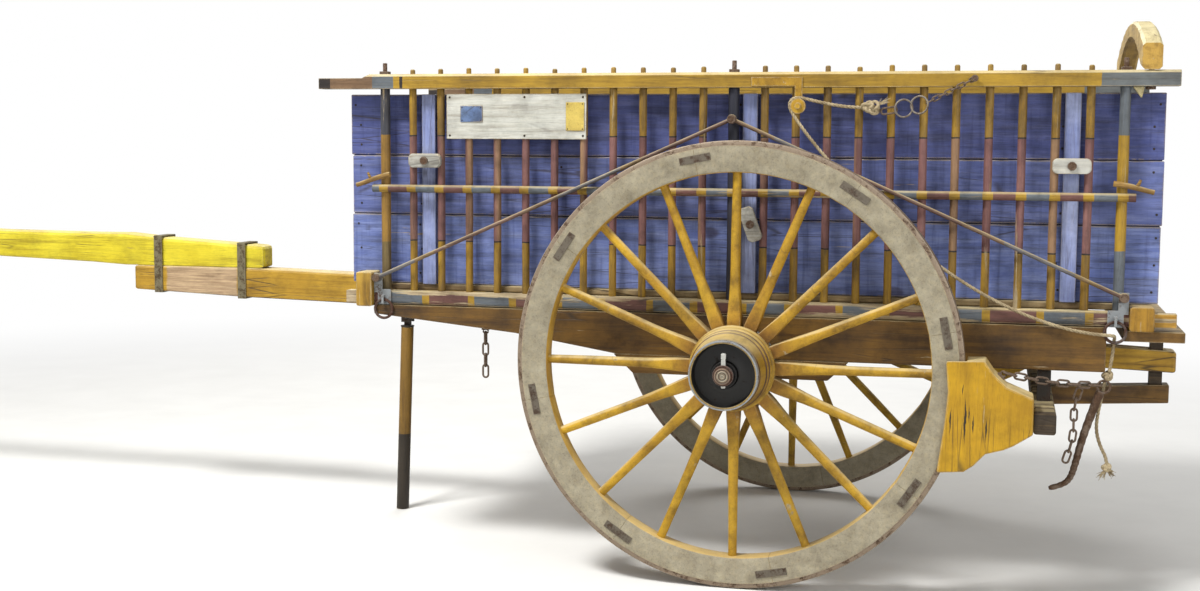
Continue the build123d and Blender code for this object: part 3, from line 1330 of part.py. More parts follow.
def prop_eye():
    """Iron cap and eye on top of the leg."""
    cap_low = PROP_WOOD_TOP + PROP_RADIUS * PROP_LEAN / (PROP_HINGE_Z + WHEEL_RADIUS) + SEAT_GAP
    eye = round_along_y(PROP_X, PROP_HINGE_Z, around(0, PROP_EYE_THICKNESS), PROP_EYE_RADIUS)
    neck = block(
        around(PROP_X, PROP_NECK_WIDTH), around(0, PROP_EYE_THICKNESS), (cap_low, PROP_HINGE_Z)
    )
    x = prop_x(PROP_WOOD_TOP)
    cap = bar((x, 0, cap_low), (x, 0, cap_low + PROP_CAP_THICKNESS), 2 * PROP_CAP_RADIUS, WASHER_SIDES)
    hole_width = around(0, 2 * PROP_EYE_THICKNESS)
    hole = round_along_y(PROP_X, PROP_HINGE_Z, hole_width, PROP_PIN_RADIUS + RUNNING_GAP)
    return (eye + neck + cap) - hole


def make_prop():
    save("prop_bracket", [prop_bracket()])
    save("prop_leg", [prop_leg()])
    save("prop_eye", [prop_eye()])


# Chains


def chain_link(start, end, upright):
    """Eight-cornered chain link between the two points where it meets its neighbours."""
    along = Vector(*end) - Vector(*start)
    half = along.length / 2 + CHAIN_WIRE + SEAT_GAP / 2

    def outline(grow):
        wide = CHAIN_HALF_WIDTH + grow
        long = half + grow
        cut = wide * CHAIN_CORNER
        return Polyline(
            (long, -wide + cut), (long, wide - cut), (long - cut, wide), (-long + cut, wide),
            (-long, wide - cut), (-long, -wide + cut), (-long + cut, -wide), (long - cut, -wide),
            close=True,
        )

    face = make_face(outline(CHAIN_WIRE)) - make_face(outline(-CHAIN_WIRE))
    ring = extrude(face, amount=CHAIN_WIRE, both=True)
    flat = along.cross(Vector(0, 1, 0)).normalized()
    normal = along.cross(flat).normalized() if upright else flat
    middle = (Vector(*start) + Vector(*end)) / 2
    return Plane(origin=middle, x_dir=along, z_dir=normal) * ring


def chain(points, first_upright, rings=()):
    """Chain through the given points, with neighbouring links a quarter turn apart."""
    pieces = []
    upright = first_upright
    for index, (start, end) in enumerate(zip(points, points[1:])):
        if index in rings:
            pieces.append(chain_ring(start, end, upright))
        else:
            pieces.append(chain_link(start, end, upright))
        upright = not upright
    return pieces


def chain_ring(start, end, upright):
    """Round ring of a chain between the two points where it meets its neighbours."""
    along = Vector(*end) - Vector(*start)
    inside = along.length / 2 + SEAT_GAP / 2
    radius = inside / math.cos(math.pi / RING_SIDES) + CHAIN_WIRE
    flat = along.cross(Vector(0, 1, 0)).normalized()
    normal = along.cross(flat).normalized() if upright else flat
    middle = (Vector(*start) + Vector(*end)) / 2
    ring = Rot(0, 0, 180 / RING_SIDES) * hoop(radius, CHAIN_WIRE)
    return Plane(origin=middle, x_dir=along, z_dir=normal) * ring


def hanging_points(start, end, count, sag):
    """Evenly spaced points of a chain that hangs between two ends with a given sag."""
    points = []
    for index in range(count + 1):
        share = index / count
        place = Vector(*start) + (Vector(*end) - Vector(*start)) * share
        points.append((place.X, place.Y, place.Z - 4 * sag * share * (1 - share)))
    return points


def eye_plate(foot, outward):
    """Small plate on a surface with an eye for the first link; gives the piece and the eye's end."""
    unit = Vector(*outward).normalized()
    origin = Vector(*foot) + unit * SEAT_GAP
    plate = Plane(origin=origin, x_dir=(0, 1, 0), z_dir=unit) * Box(
        EYE_PLATE_SIZE, EYE_PLATE_SIZE, EYE_PLATE_THICKNESS, align=(Align.CENTER, Align.CENTER, Align.MIN)
    )
    start = origin + unit * (EYE_PLATE_THICKNESS + CHAIN_WIRE / 2)
    end = start + unit * EYE_REACH
    return plate + chain_link(tuple(start), tuple(end), True), tuple(end)


def brake_chain():
    """Chain from the left brake block to the eye of the hook."""
    (low_x, low_z), (high_x, high_z) = BRAKE_OUTLINE_TOP[:2]
    y = BRAKE_BLOCK_OUTER_Y - BRAKE_CHAIN_IN_FROM_FACE
    foot = ((low_x + high_x) / 2 - WHEEL_RADIUS, y, (low_z + high_z) / 2)
    eye, start = eye_plate(foot, (low_z - high_z, 0, high_x - low_x))
    inside = (HOOK_EYE_RADIUS - HOOK_EYE_WIRE) * math.cos(math.pi / RING_SIDES) - BRAKE_CHAIN_PLAY
    angle = math.radians(BRAKE_CHAIN_ANGLE)
    y_end = HOOK_Y - BRAKE_CHAIN_SIDESTEP
    end = (HOOK_EYE_X + inside * math.cos(angle), y_end, HOOK_EYE_Z + inside * math.sin(angle))
    points = hanging_points(start, end, BRAKE_CHAIN_LINKS, BRAKE_CHAIN_SAG)
    return [eye] + chain(points, False)


def rail_chain():
    """Pin on the left top rail, with a short chain and two rings down to the rope's knot."""
    inner = RAIL_OUTER_Y + SEAT_GAP
    y = RAIL_Y + RAIL_CHAIN_FROM_RAIL
    points = [(x, y, z) for x, z in RAIL_CHAIN_POINTS]
    along = (Vector(*points[1]) - Vector(*points[0])).normalized()
    centre = Vector(*points[0]) + along * RAIL_PIN_RADIUS
    head_y = inner + RAIL_PIN_LENGTH - RAIL_PIN_HEAD
    shank = bar_along_y(centre.X, centre.Z, (inner, head_y), 2 * RAIL_PIN_RADIUS, WASHER_SIDES)
    head = bar_along_y(centre.X, centre.Z, (head_y, head_y + RAIL_PIN_HEAD), 4 * RAIL_PIN_RADIUS)
    return [shank + head] + chain(points, True, RAIL_CHAIN_RINGS)


def prop_chain():
    """Chain that holds the folded prop leg, hanging from the left side beam."""
    run = FRONT_BEAM_BACK - SEAT_GAP - SIDE_BEAM_KNEE_X
    rise = SIDE_BEAM_FRONT_Z - SIDE_BEAM_KNEE_Z
    z = SIDE_BEAM_KNEE_Z + rise * (PROP_CHAIN_X - SIDE_BEAM_KNEE_X) / run
    eye, start = eye_plate((PROP_CHAIN_X, RAIL_Y, z), (rise, 0, -run))
    drops = [index * PROP_CHAIN_PITCH for index in range(PROP_CHAIN_LINKS + 1)]
    points = [(start[0], start[1], start[2] - drop) for drop in drops]
    return [eye] + chain(points, False)


# Rope


def cord(points):
    """Rope along straight runs joined by tangent arcs, each as large as its runs allow."""
    places = [Vector(x, RAIL_Y + out, z) for x, out, z in points]
    radii = []
    for before, here, after in zip(places, places[1:], places[2:]):
        turn = math.radians((here - before).get_angle(after - here))
        shorter = min((here - before).length, (after - here).length)
        radii.append(ROPE_ARC_SHARE * shorter / math.tan(turn / 2))
    path = FilletPolyline(*places, radius=radii)
    section = Plane(origin=path @ 0, z_dir=path % 0) * Circle(ROPE_DIAMETER / 2)
    shape = sweep(section, path=path)
    expected = math.pi * ROPE_DIAMETER**2 / 4 * path.length
    print("cord arcs", [round(radius) for radius in radii], "length", round(path.length))
    print("cord volume", round(shape.volume), "section times length", round(expected))
    return shape


def knots():
    """Knots of the rope."""
    pieces = []
    for x0, out0, z0, x1, out1, z1 in ROPE_KNOTS:
        pieces.append(bar((x0, RAIL_Y + out0, z0), (x1, RAIL_Y + out1, z1), KNOT_ACROSS))
    return pieces


def make_rigging():
    save("chains", brake_chain() + rail_chain() + prop_chain())
    save("rope_line", [cord(ROPE_LINE)])
    save("rope_tail", [cord(ROPE_TAIL)])
    save("rope_knots", knots())


make_wheels()
make_axle()
make_pole()
make_bed()
make_sides()
make_arch()
make_tail()
save("pulley", pulley())
make_prop()
make_rigging()
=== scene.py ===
import math
import random

import bmesh
import bpy
from mathutils import Matrix, Vector


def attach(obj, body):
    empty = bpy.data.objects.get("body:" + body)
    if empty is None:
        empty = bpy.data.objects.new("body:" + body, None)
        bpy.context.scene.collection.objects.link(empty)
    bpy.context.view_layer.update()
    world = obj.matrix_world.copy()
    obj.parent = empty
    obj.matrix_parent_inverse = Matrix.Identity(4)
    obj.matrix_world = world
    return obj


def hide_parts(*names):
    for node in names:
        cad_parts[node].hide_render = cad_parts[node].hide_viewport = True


# Looks of the ox cart. Sizes are in millimetres from the middle of the axle, as the solids were
# drawn (X to the pole's tip, Y to the left, Z up), and at() turns them into the frame's metres.

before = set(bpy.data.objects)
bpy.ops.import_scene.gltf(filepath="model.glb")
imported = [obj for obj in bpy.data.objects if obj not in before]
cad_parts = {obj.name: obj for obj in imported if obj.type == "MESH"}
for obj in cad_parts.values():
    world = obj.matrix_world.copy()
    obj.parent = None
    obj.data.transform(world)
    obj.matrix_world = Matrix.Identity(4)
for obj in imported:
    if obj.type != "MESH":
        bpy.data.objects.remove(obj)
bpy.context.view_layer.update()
random.seed(7)

# Frame
ORIGIN_X = 1392.5
AXLE_HEIGHT = 750.0
SIDES = ((1, "left"), (-1, "right"))

# Wheels
WHEEL_RADIUS = 750.0
HALF_TRACK = 770.0
TYRE_THICKNESS = 17.0
TYRE_WIDTH = 66.0
FELLOE_DEPTH = 88.0
FELLOE_WIDTH = 70.0
FELLOE_COUNT = 8
FELLOE_EDGE = 6.0
SPOKE_COUNT = 16
SPOKE_DISH = 12.0
SPOKE_SIDES = 16
HUB_FRONT = 235.0
HUB_BACK = -158.0
HUB_SEAT_RADIUS = 128.0
FELLOE_OUTER = WHEEL_RADIUS - TYRE_THICKNESS - 0.3
FELLOE_INNER = FELLOE_OUTER - FELLOE_DEPTH
FELLOE_PITCH = 2 * math.pi / FELLOE_COUNT
FELLOE_STEPS = 20
TYRE_STEPS = 180
TYRE_SECTION = [
    # offset from the rim's middle, radius
    (-TYRE_WIDTH / 2, WHEEL_RADIUS - TYRE_THICKNESS), (-TYRE_WIDTH / 2, WHEEL_RADIUS - 5),
    (-TYRE_WIDTH / 2 + 1.6, WHEEL_RADIUS - 1.6), (-TYRE_WIDTH / 2 + 6, WHEEL_RADIUS - 0.1),
    (TYRE_WIDTH / 2 - 6, WHEEL_RADIUS - 0.1), (TYRE_WIDTH / 2 - 1.6, WHEEL_RADIUS - 1.6),
    (TYRE_WIDTH / 2, WHEEL_RADIUS - 5), (TYRE_WIDTH / 2, WHEEL_RADIUS - TYRE_THICKNESS),
]
CRAMP_LENGTH = 106.0
CRAMP_HEIGHT = 25.0
CRAMP_OFFSET = 12.0
CRAMP_THICKNESS = 2.8
AXLE_RADIUS = 27.0

# Sides
RAIL_Y = 567.0
STAKE_COUNT = 25
STAKE_PITCH = 106.0
STAKE_FIRST_X = 1320.0
STAKE_LOW = 201.3
STAKE_HIGH = 927.7
STAKE_RADIUS = 14.0
PEG_RADIUS = 9.0
PEG_TOP = 1002.0
END_STAKE_RADIUS = 18.0
CENTRE_POST_RADIUS = 20.0
END_IRON_RADIUS = 8.0
END_IRON_TOP = 1020.0
TOP_RAIL_TOP = 980.0
MID_RAIL_Z = 571.0
BOARD_OUTER = 531.4
BOARD_INNER = 509.4
BOARD_LOW = 224.0
BOARD_TOP = 909.0
BOARD_FRONT = 1470.0
BOARD_REAR = -1355.0
BOARD_JOINTS = [477.0, 690.0]
BOARD_SEAM = 1.6
NAIL_ROWS = [1197.0, 30.0, -1029.0, 676.0, -484.0, 1440.0, -1325.0]
NAIL_EDGE = 38.0
SIGN_FRONT = 1080.0
SIGN_REAR = 565.0
SIGN_LOW = 750.0
SIGN_TOP = 909.0
SIGN_Y = 581.3
SIGN_THICKNESS = 4.0
PLATE_THICKNESS = 2.6
PLATE_NAIL = [(2.4, 2.6), (3.0, 2.2)]
SIGN_NAIL = [(-0.3, 4.0), (1.0, 3.4), (1.4, 2.0)]
SIGN_NAIL_X = (SIGN_REAR + 12, 790.0, SIGN_FRONT - 12)
SIGN_PLATES = [
    # rear x, front x, low z, high z, paint
    (945.0, 1027.0, 810.0, 867.0, 1), (572.0, 638.0, 780.0, 879.0, 2),
]
ARCH_X = -1300.0
ARCH_DEPTH = 62.0
ARCH_THICKNESS = 60.0
ARCH_END_HEIGHT = 84.0
ARCH_TOP = 1170.0
ARCH_EDGE = 9.0
ARCH_STEPS = 40
STAY_Y = 608.1
STAY_RADIUS = 7.0
STAY_EYE_RADIUS = 16.0
STAY_EYE_HALF = 8.5
STAY_GAP = 0.013
STAY_POINTS = [(1342.0, 248.0), (48.0, 821.0), (-1240.0, 248.0)]

# Rope
ROPE_LAY = 0.042
STRAND_REACH = 0.0029
STRAND_RADIUS = 0.0031
TURN_RADIUS = 0.0052
TURN_PITCH = 9
TURN_STEPS = 14
KNOT_RADIUS = 0.0058
KNOT_STEPS = 72
ROPE_LINE = [
    # x, y, z
    (-393.0, 613.0, 859.5), (-352.0, 613.0, 860.5), (-296.0, 612.0, 868.0), (-234.0, 610.5, 880.8),
    (-163.5, 609.6, 898.1), (-140.6, 609.6, 866.2), (-182.0, 612.5, 803.0), (-268.0, 621.0, 697.0),
    (-384.0, 625.0, 578.0), (-505.0, 625.5, 461.0), (-636.0, 625.0, 349.0), (-782.0, 624.5, 255.0),
    (-925.0, 624.0, 186.0), (-1052.0, 623.5, 145.0), (-1140.0, 622.5, 130.0), (-1188.0, 622.0, 127.0),
    (-1213.0, 611.0, 124.0), (-1216.0, 588.0, 116.0), (-1214.0, 584.0, 88.0), (-1210.0, 588.0, 44.0),
    (-1203.0, 592.0, 3.3),
]
ROPE_TAIL = [
    # x, y, z
    (-1193.0, 575.0, -22.3), (-1186.0, 572.0, -68.0), (-1175.0, 572.0, -126.0), (-1168.0, 574.0, -190.0),
    (-1183.0, 575.0, -245.0), (-1205.0, 575.0, -284.0), (-1207.0, 575.0, -310.0),
]

# Rings, chains and hook
SHOE_RING_XS = [1318.0, -1216.0]
SHOE_RING_Y = 605.0
SHOE_RING_Z = 134.6
SHOE_RING_RADIUS = 33.4
SHOE_RING_WIRE = 5.0
BLOCK_EYE = (-860.0, 735.0, -5.5)
BLOCK_EYE_WAY = (-39.0, 0.0, 40.0)
EYE_PLATE_HALF = 13.0
BRAKE_CHAIN_SAG = 40.0
RAIL_CHAIN_TOP = (-757.0, 613.0, 957.0)
RAIL_CHAIN_END = (-601.0, 613.0, 875.0)
BEAM_CHAIN_X = 940.0
BEAM_CHAIN_Z = 74.0
BEAM_PLATE_Z = (66.5, 73.0)
BEAM_LINK = 40
SLACK_CHAIN_TOP = (-1112.0, 612.0, -52.0)
SLACK_LINK = 35.0
LINK_HALF_WIDTH = 10.0
LINK_WIRE = 0.0036
FINE_LINK = (6.6, 0.0027)
ROUND_LINK_WIRE = 3.4
STAPLE_WIRE = 0.003
LINK_OVERLAP = 3.15
FIRST_LINK = 17.8
STAPLE = 7.8
RING_CHAIN = [
    # x, z
    (-601.0, 875.0), (-551.0, 861.0), (-500.0, 853.0), (-455.0, 846.0),
]
RAIL_PIN = [
    # y, radius
    (598.3, 6), (622.3, 6), (622.3, 11), (626, 11.5), (628.3, 9),
]
HOOK_X = -1188.0
HOOK_Y = 592.0
HOOK_Z = -46.0
HOOK_RING_RADIUS = 20.0
HOOK_RING_WIRE = 4.0
HOOK_EYE_REACH = 12.45
HOOK_EYE_TURN = math.radians(20)
HOOK_RADIUS = 0.0145
HOOK_TAPER = 0.006
HOOK_LINE = [
    # x, z
    (-1178, -62), (-1154, -130), (-1126, -220), (-1108, -300), (-1094, -354), (-1068, -380), (-1025, -392),
]


def at(x, y, z):
    """Point in the frame's metres."""
    return Vector(((x - ORIGIN_X) / 1000, y / 1000, (z + AXLE_HEIGHT) / 1000))


def x_at(x):
    return at(x, 0, 0).x


def z_at(z):
    return at(0, 0, z).z


# Materials

WHITE = (255, 255, 255)
COLOURED = ("A", "B", "Base Color", "Color")


def linear(colour):
    """Linear colour from three display values 0 to 255; four values are linear already."""
    if len(colour) == 4:
        return colour
    shares = [value / 255 for value in colour]
    return (*(v / 12.92 if v <= 0.04045 else ((v + 0.055) / 1.055) ** 2.4 for v in shares), 1.0)


class Nodes:
    """Node tree that is filled by short calls; colours in it are display values."""

    def __init__(self, tree):
        self.tree = tree

    def fill(self, node, inputs):
        """Link or set a node's inputs, given by name or by place."""
        for key, value in inputs.items():
            if isinstance(value, bpy.types.NodeSocket):
                self.tree.links.new(value, node.inputs[key])
            else:
                node.inputs[key].default_value = linear(value) if key in COLOURED else value

    def node(self, kind, inputs, output, **settings):
        """One output of a new node."""
        node = self.tree.nodes.new(f"ShaderNode{kind}")
        for key, value in settings.items():
            setattr(node, key, value)
        self.fill(node, inputs)
        return node.outputs[output]

    def math(self, operation, first, second=0.0):
        return self.node("Math", {0: first, 1: second}, "Value", operation=operation)


class Shader(Nodes):
    """One material, built from a few short calls."""

    def __init__(self, name, metallic=0.0, specular=0.4):
        self.material = bpy.data.materials.new(name)
        self.material.use_nodes = True
        super().__init__(self.material.node_tree)
        self.bsdf = self.tree.nodes["Principled BSDF"]
        self.fill(self.bsdf, {"Metallic": metallic, "Specular IOR Level": specular})
        coords = self.tree.nodes.new("ShaderNodeTexCoord")
        self.object = coords.outputs["Object"]
        self.normal = coords.outputs["Normal"]

    def stretched(self, scale, offset=(0, 0, 0)):
        return self.node("Mapping", {"Vector": self.object, "Scale": scale, "Location": offset}, "Vector")

    def noise(self, vector, scale, detail=4.0, rough=0.6):
        inputs = {"Vector": vector, "Scale": scale, "Detail": detail, "Roughness": rough}
        return self.node("TexNoise", inputs, "Fac")

    def cells(self, vector, scale, feature="F1"):
        """Distance to the middle of the nearest cell, or to its edge with that feature."""
        return self.node("TexVoronoi", {"Vector": vector, "Scale": scale}, "Distance", feature=feature)

    def ramp(self, value, stops, constant=False):
        node = self.tree.nodes.new("ShaderNodeValToRGB")
        if constant:
            node.color_ramp.interpolation = "CONSTANT"
        elements = node.color_ramp.elements
        while len(elements) < len(stops):
            elements.new(0.5)
        for element, (place, colour) in zip(elements, stops):
            element.position = place
            element.color = linear(colour)
        self.fill(node, {"Fac": value})
        return node.outputs["Color"]

    def tones(self, value, dark, light):
        """Two colours that follow a noise."""
        return self.ramp(value, [(0.3, dark), (0.7, light)])

    def steps(self, value, low, high, start=0.0, stop=1.0):
        """Smooth step from start to stop as the value goes from low to high."""
        inputs = {"Value": value, "From Min": low, "From Max": high, "To Min": start, "To Max": stop}
        return self.node("MapRange", inputs, "Result", interpolation_type="SMOOTHSTEP")

    def plus(self, first, second):
        return self.math("ADD", first, second)

    def minus(self, first, second):
        return self.math("SUBTRACT", first, second)

    def times(self, first, second):
        return self.math("MULTIPLY", first, second)

    def size(self, value):
        return self.math("ABSOLUTE", value)

    def axis(self, name, vector=None):
        return self.node("SeparateXYZ", {"Vector": self.object if vector is None else vector}, name)

    def reach(self, first, second):
        """Length of the hypotenuse."""
        return self.math("SQRT", self.plus(self.times(first, first), self.times(second, second)))

    def from_axle(self):
        """Distance from the middle of the axle, seen from the side."""
        return self.reach(self.minus(self.axis("X"), x_at(0)), self.minus(self.axis("Z"), z_at(0)))

    def mix(self, factor, first, second, blend="MIX"):
        inputs = {"Factor": factor, "A": first, "B": second}
        return self.node("Mix", inputs, "Result", data_type="RGBA", blend_type=blend)

    def tint(self, colour, value, low, high, most, tone, blend="MIX"):
        """Tone laid over a colour as the value goes from low to high."""
        return self.mix(self.steps(value, low, high, 0.0, most), colour, tone, blend)

    def bump(self, height, strength, distance):
        return self.node("Bump", {"Height": height, "Strength": strength, "Distance": distance}, "Normal")

    def worn_edges(self, radius):
        """1 along the edges of the shape, 0 on its faces."""
        rounded = self.node("Bevel", {"Radius": radius}, "Normal", samples=4)
        flat = self.node("NewGeometry", {}, "Normal")
        alike = self.node("VectorMath", {0: rounded, 1: flat}, "Value", operation="DOT_PRODUCT")
        return self.steps(alike, 0.88, 0.995, 1.0, 0.0)

    def finish(self, colour, roughness, normal=None):
        self.fill(self.bsdf, {"Base Color": colour, "Roughness": roughness})
        if normal is not None:
            self.fill(self.bsdf, {"Normal": normal})
        return self.material


GRAIN = {
    # grain direction: scale along x, y and z
    "x": (1.2, 22.0, 22.0),
    "y": (22.0, 1.2, 22.0),
    "z": (22.0, 22.0, 1.2),
    "none": (9.0, 9.0, 9.0),
}
BARE_LIGHT = (182, 165, 132)
BARE_DARK = (112, 93, 66)
DIRT = (70, 58, 42)


def scaled(vector, factor):
    return tuple(factor * value for value in vector)


def worn_paint(name, paint, grain, wear, edge, dirt=0.35, cracks=0.5, rough=0.58, bare=None, top_fade_and_light=0.45,
               stain=0.5, hewn=0.0):
    """Old paint on timber: scratched along the grain, rubbed off at edges, cracked and dusty, with upward
    faces painted paler, partly sun-faded paint and partly a painted highlight of the light from above.

    paint is a list of two colours, or a function that makes the paint's colour from the shader.
    """
    s = Shader(name)
    scale = GRAIN[grain]
    fibres = s.noise(s.stretched(scale), 7.0, 6.0, 0.65)
    threads = s.noise(s.stretched(scaled(scale, 2.6)), 9.0, 3.0, 0.6)
    cloud = s.noise(s.object, 5.0, 5.0, 0.6)
    colour = paint(s, cloud) if callable(paint) else s.tones(cloud, *paint)
    colour = s.tint(colour, fibres, 0.4, 0.8, 0.4, (235, 225, 200), "SOFT_LIGHT")
    colour = s.tint(colour, threads, 0.5, 0.8, 0.42, (110, 88, 58), "MULTIPLY")
    stains = s.noise(s.stretched(scaled(scale, 0.3), (9, 2, 4)), 5.5, 6.0, 0.7)
    colour = s.tint(colour, stains, 0.44, 0.68, stain, (124, 104, 74), "MULTIPLY")
    light, dark = bare if bare else (BARE_LIGHT, BARE_DARK)
    timber = s.ramp(fibres, [(0.3, dark), (0.62, light)])
    # Painted highlight: faces that look up are mixed towards a pale colour, for the light from above as well
    # as sun-faded paint.
    upward = s.times(s.steps(s.axis("Z", s.normal), 0.3, 0.8), s.steps(cloud, 0.25, 0.6, 0.6, 1.0))
    colour = s.mix(s.times(upward, top_fade_and_light), colour, (218, 200, 150))
    patches = s.noise(s.stretched(scaled(scale, 0.35), (3, 5, 7)), 3.2, 7.0, 0.72)
    chips = s.steps(patches, 1.0 - wear, 1.04 - wear)
    if edge > 0:
        rub = s.times(s.worn_edges(0.006), s.noise(s.object, 14.0, 5.0, 0.7))
        chips = s.math("MAXIMUM", chips, s.steps(rub, 0.62 - edge * 0.35, 0.72 - edge * 0.35))
    colour = s.mix(chips, colour, timber)
    height = s.minus(s.times(fibres, 0.5), s.times(chips, 0.25))
    if cracks > 0:
        lines = s.cells(s.stretched(scaled(scale, 0.55), (1, 2, 3)), 2.1, "DISTANCE_TO_EDGE")
        split = s.times(s.steps(lines, 0.0, 0.03, 1.0, 0.0), s.steps(s.noise(s.object, 3.1), 0.5, 0.62))
        split = s.times(split, cracks)
        colour = s.mix(split, colour, (48, 38, 26))
        height = s.minus(height, s.times(split, 0.9))
    grime = s.times(s.steps(s.noise(s.object, 8.0, 7.0, 0.7), 0.42, 0.74), dirt)
    colour = s.mix(grime, colour, DIRT, "MULTIPLY")
    if hewn > 0:
        waves = s.noise(s.stretched((1.0, 2.4, 2.4), (2, 6, 1)), 6.0, 1.0)
        height = s.plus(height, s.times(waves, hewn))
    normal = s.bump(height, 0.6, 0.0022)
    roughness = s.steps(s.plus(chips, grime), 0.0, 1.0, rough, min(0.95, rough + 0.28))
    return s.finish(colour, roughness, normal)


def bare_timber(name, light, dark):
    """Weathered timber without paint."""
    return worn_paint(name, [dark, light], "x", 0.5, 0.5, dirt=0.5, cracks=0.9, rough=0.72,
                      bare=(light, dark))


def faded_bands(s, cloud, share, stops, strength):
    """Sharp bands of paint, darkened here and there."""
    fade = s.tones(cloud, (150, 140, 120), (255, 252, 240))
    return s.mix(strength, s.ramp(share, stops, True), fade, "MULTIPLY")


def bands(axis, low, high, stops):
    """Paint in bands along one axis; stops are (place in mm, colour)."""
    def paint(s, cloud):
        value = s.plus(s.axis(axis), s.times(s.noise(s.object, 30.0), 0.006))
        place = x_at if axis == "X" else z_at
        inputs = {"Value": value, "From Min": place(low), "From Max": place(high)}
        share = s.node("MapRange", inputs, "Result")
        return faded_bands(s, cloud, share, [((p - low) / (high - low), c) for p, c in stops], 0.55)
    return paint


def repeating_bands(period, stops, start):
    """Paint in bands that repeat along X; stops are shares of the period."""
    def paint(s, cloud):
        value = s.plus(s.axis("X"), s.times(s.noise(s.object, 30.0), 0.005))
        share = s.math("FRACT", s.math("DIVIDE", s.minus(value, x_at(start)), period / 1000))
        return faded_bands(s, cloud, share, stops, 0.5)
    return paint


def forged_iron(name, base, rust, rusting, rough, metallic, polish=None):
    """Forged iron with rust, scale and rubbed edges."""
    s = Shader(name, metallic, 0.45)
    cloud = s.noise(s.object, 34.0, 9.0, 0.72)
    fine = s.noise(s.object, 160.0, 5.0, 0.6)
    mask = s.steps(s.plus(cloud, s.times(fine, 0.25)), 0.80 - rusting * 0.5, 0.98 - rusting * 0.5)
    dark_rust = (*scaled(linear(rust)[:3], 0.55), 1.0)
    colour = s.mix(mask, base, s.ramp(fine, [(0.35, rust), (0.65, dark_rust)]))
    if polish is not None:
        rub = s.times(s.worn_edges(0.004), s.steps(cloud, 0.38, 0.6))
        colour = s.mix(rub, colour, polish)
    pits = s.steps(s.cells(s.object, 120.0), 0.1, 0.4)
    height = s.plus(s.times(cloud, 0.6), s.times(pits, 0.3))
    return s.finish(colour, s.steps(mask, 0.0, 1.0, rough, 0.9), s.bump(height, 0.5, 0.0012))


AXLE_RINGS = [
    # share of the end's radius, colour
    (0.0, (70, 62, 52)), (0.12, (150, 142, 124)), (0.3, (120, 108, 88)), (0.42, (54, 46, 38)),
    (0.5, (168, 160, 140)), (0.62, (112, 94, 74)), (0.72, (48, 40, 34)), (0.8, (132, 112, 94)),
    (0.92, (92, 72, 58)),
]


def axle_iron():
    """Black iron bar whose two ends are turned in worn, brighter rings."""
    s = Shader("axle_iron", 0.3, 0.45)
    cloud = s.noise(s.object, 60.0, 6.0, 0.7)
    radius = s.from_axle()
    rings = s.ramp(s.math("DIVIDE", radius, 0.03), AXLE_RINGS)
    end = s.steps(s.size(s.axis("Y")), 1.012, 1.014)
    dark = s.ramp(cloud, [(0.35, (38, 34, 30)), (0.65, (62, 50, 40))])
    worn = s.tint(rings, cloud, 0.45, 0.65, 0.5, (84, 64, 48))
    height = s.times(s.math("SINE", s.times(radius, 900.0)), end)
    return s.finish(s.mix(end, dark, worn), 0.55, s.bump(height, 0.7, 0.001))


MUSTARD = [(136, 102, 22), (182, 148, 44)]
YELLOW = [(188, 168, 20), (222, 206, 52)]
OCHRE = [(156, 116, 10), (198, 154, 18)]
CREAM = [(188, 170, 112), (222, 210, 164)]
GREY_BLUE = (100, 108, 118)
DUSTY_RED = (110, 74, 68)
BAND_YELLOW = (170, 136, 40)
DARK = (40, 32, 28)
WALL_BLUE = [(70, 84, 142), (120, 136, 192)]


def spoke_paint(s, cloud):
    """Mustard paint that darkens to brown at the feet of the spokes."""
    radius = s.plus(s.from_axle(), s.times(cloud, 0.05))
    paint = s.tones(cloud, (148, 110, 14), (194, 154, 36))
    foot = s.tones(cloud, (112, 74, 20), (160, 116, 34))
    return s.mix(s.steps(radius, 0.15, 0.27), foot, paint)


def rim_paint(s, cloud):
    """Grey-beige worn faces and a yellow inner surface of the felloes."""
    facing = s.size(s.axis("Y", s.normal))
    face = s.tones(s.noise(s.object, 17.0, 8.0, 0.72), (132, 124, 104), (164, 156, 134))
    face = s.tint(face, s.noise(s.object, 60.0, 4.0, 0.7), 0.5, 0.8, 0.35, (100, 90, 72))
    inner = s.tones(cloud, (160, 120, 36), (198, 160, 70))
    return s.mix(s.steps(facing, 0.45, 0.7), inner, face)


# Painted shade: the middle and top planks are multiplied darker, for the shadow of the top rail, with a
# slight change of hue.
PLANK_SHADE_TINTS = [(226, 222, 228), (216, 214, 228)]


def wall_paint(s, cloud):
    """Faded periwinkle blue with pale streaks, knots and rain marks, with the planks painted darker towards
    the top as painted shade of the top rail.
    """
    streaks = s.noise(s.stretched((1.0, 10.0, 12.0)), 5.0, 6.0, 0.7)
    colour = s.ramp(cloud, [(0.25, WALL_BLUE[0]), (0.75, WALL_BLUE[1])])
    colour = s.tint(colour, streaks, 0.4, 0.8, 0.55, (148, 162, 206))
    # Painted shade: each plank above a joint is darkened once more.
    for joint, tint in zip(BOARD_JOINTS, PLANK_SHADE_TINTS):
        colour = s.mix(s.math("GREATER_THAN", s.axis("Z"), z_at(joint)), colour, tint, "MULTIPLY")
    rain = s.noise(s.stretched((14.0, 1.0, 0.8)), 4.0, 5.0, 0.6)
    colour = s.tint(colour, rain, 0.5, 0.75, 0.4, (96, 96, 132), "MULTIPLY")
    knots = s.steps(s.cells(s.stretched((0.55, 1.0, 1.0)), 3.4), 0.05, 0.085, 0.6, 0.0)
    return s.mix(knots, colour, (62, 52, 70))


def arch_paint(s, cloud):
    """Cream above, ochre on the sides and the underside."""
    upper = s.tones(cloud, *CREAM)
    sides = s.tones(cloud, (150, 118, 44), (190, 156, 74))
    colour = s.mix(s.steps(s.axis("Z", s.normal), -0.1, 0.45), sides, upper)
    return s.mix(s.steps(s.size(s.axis("Y", s.normal)), 0.8, 0.95), colour, (176, 140, 62))


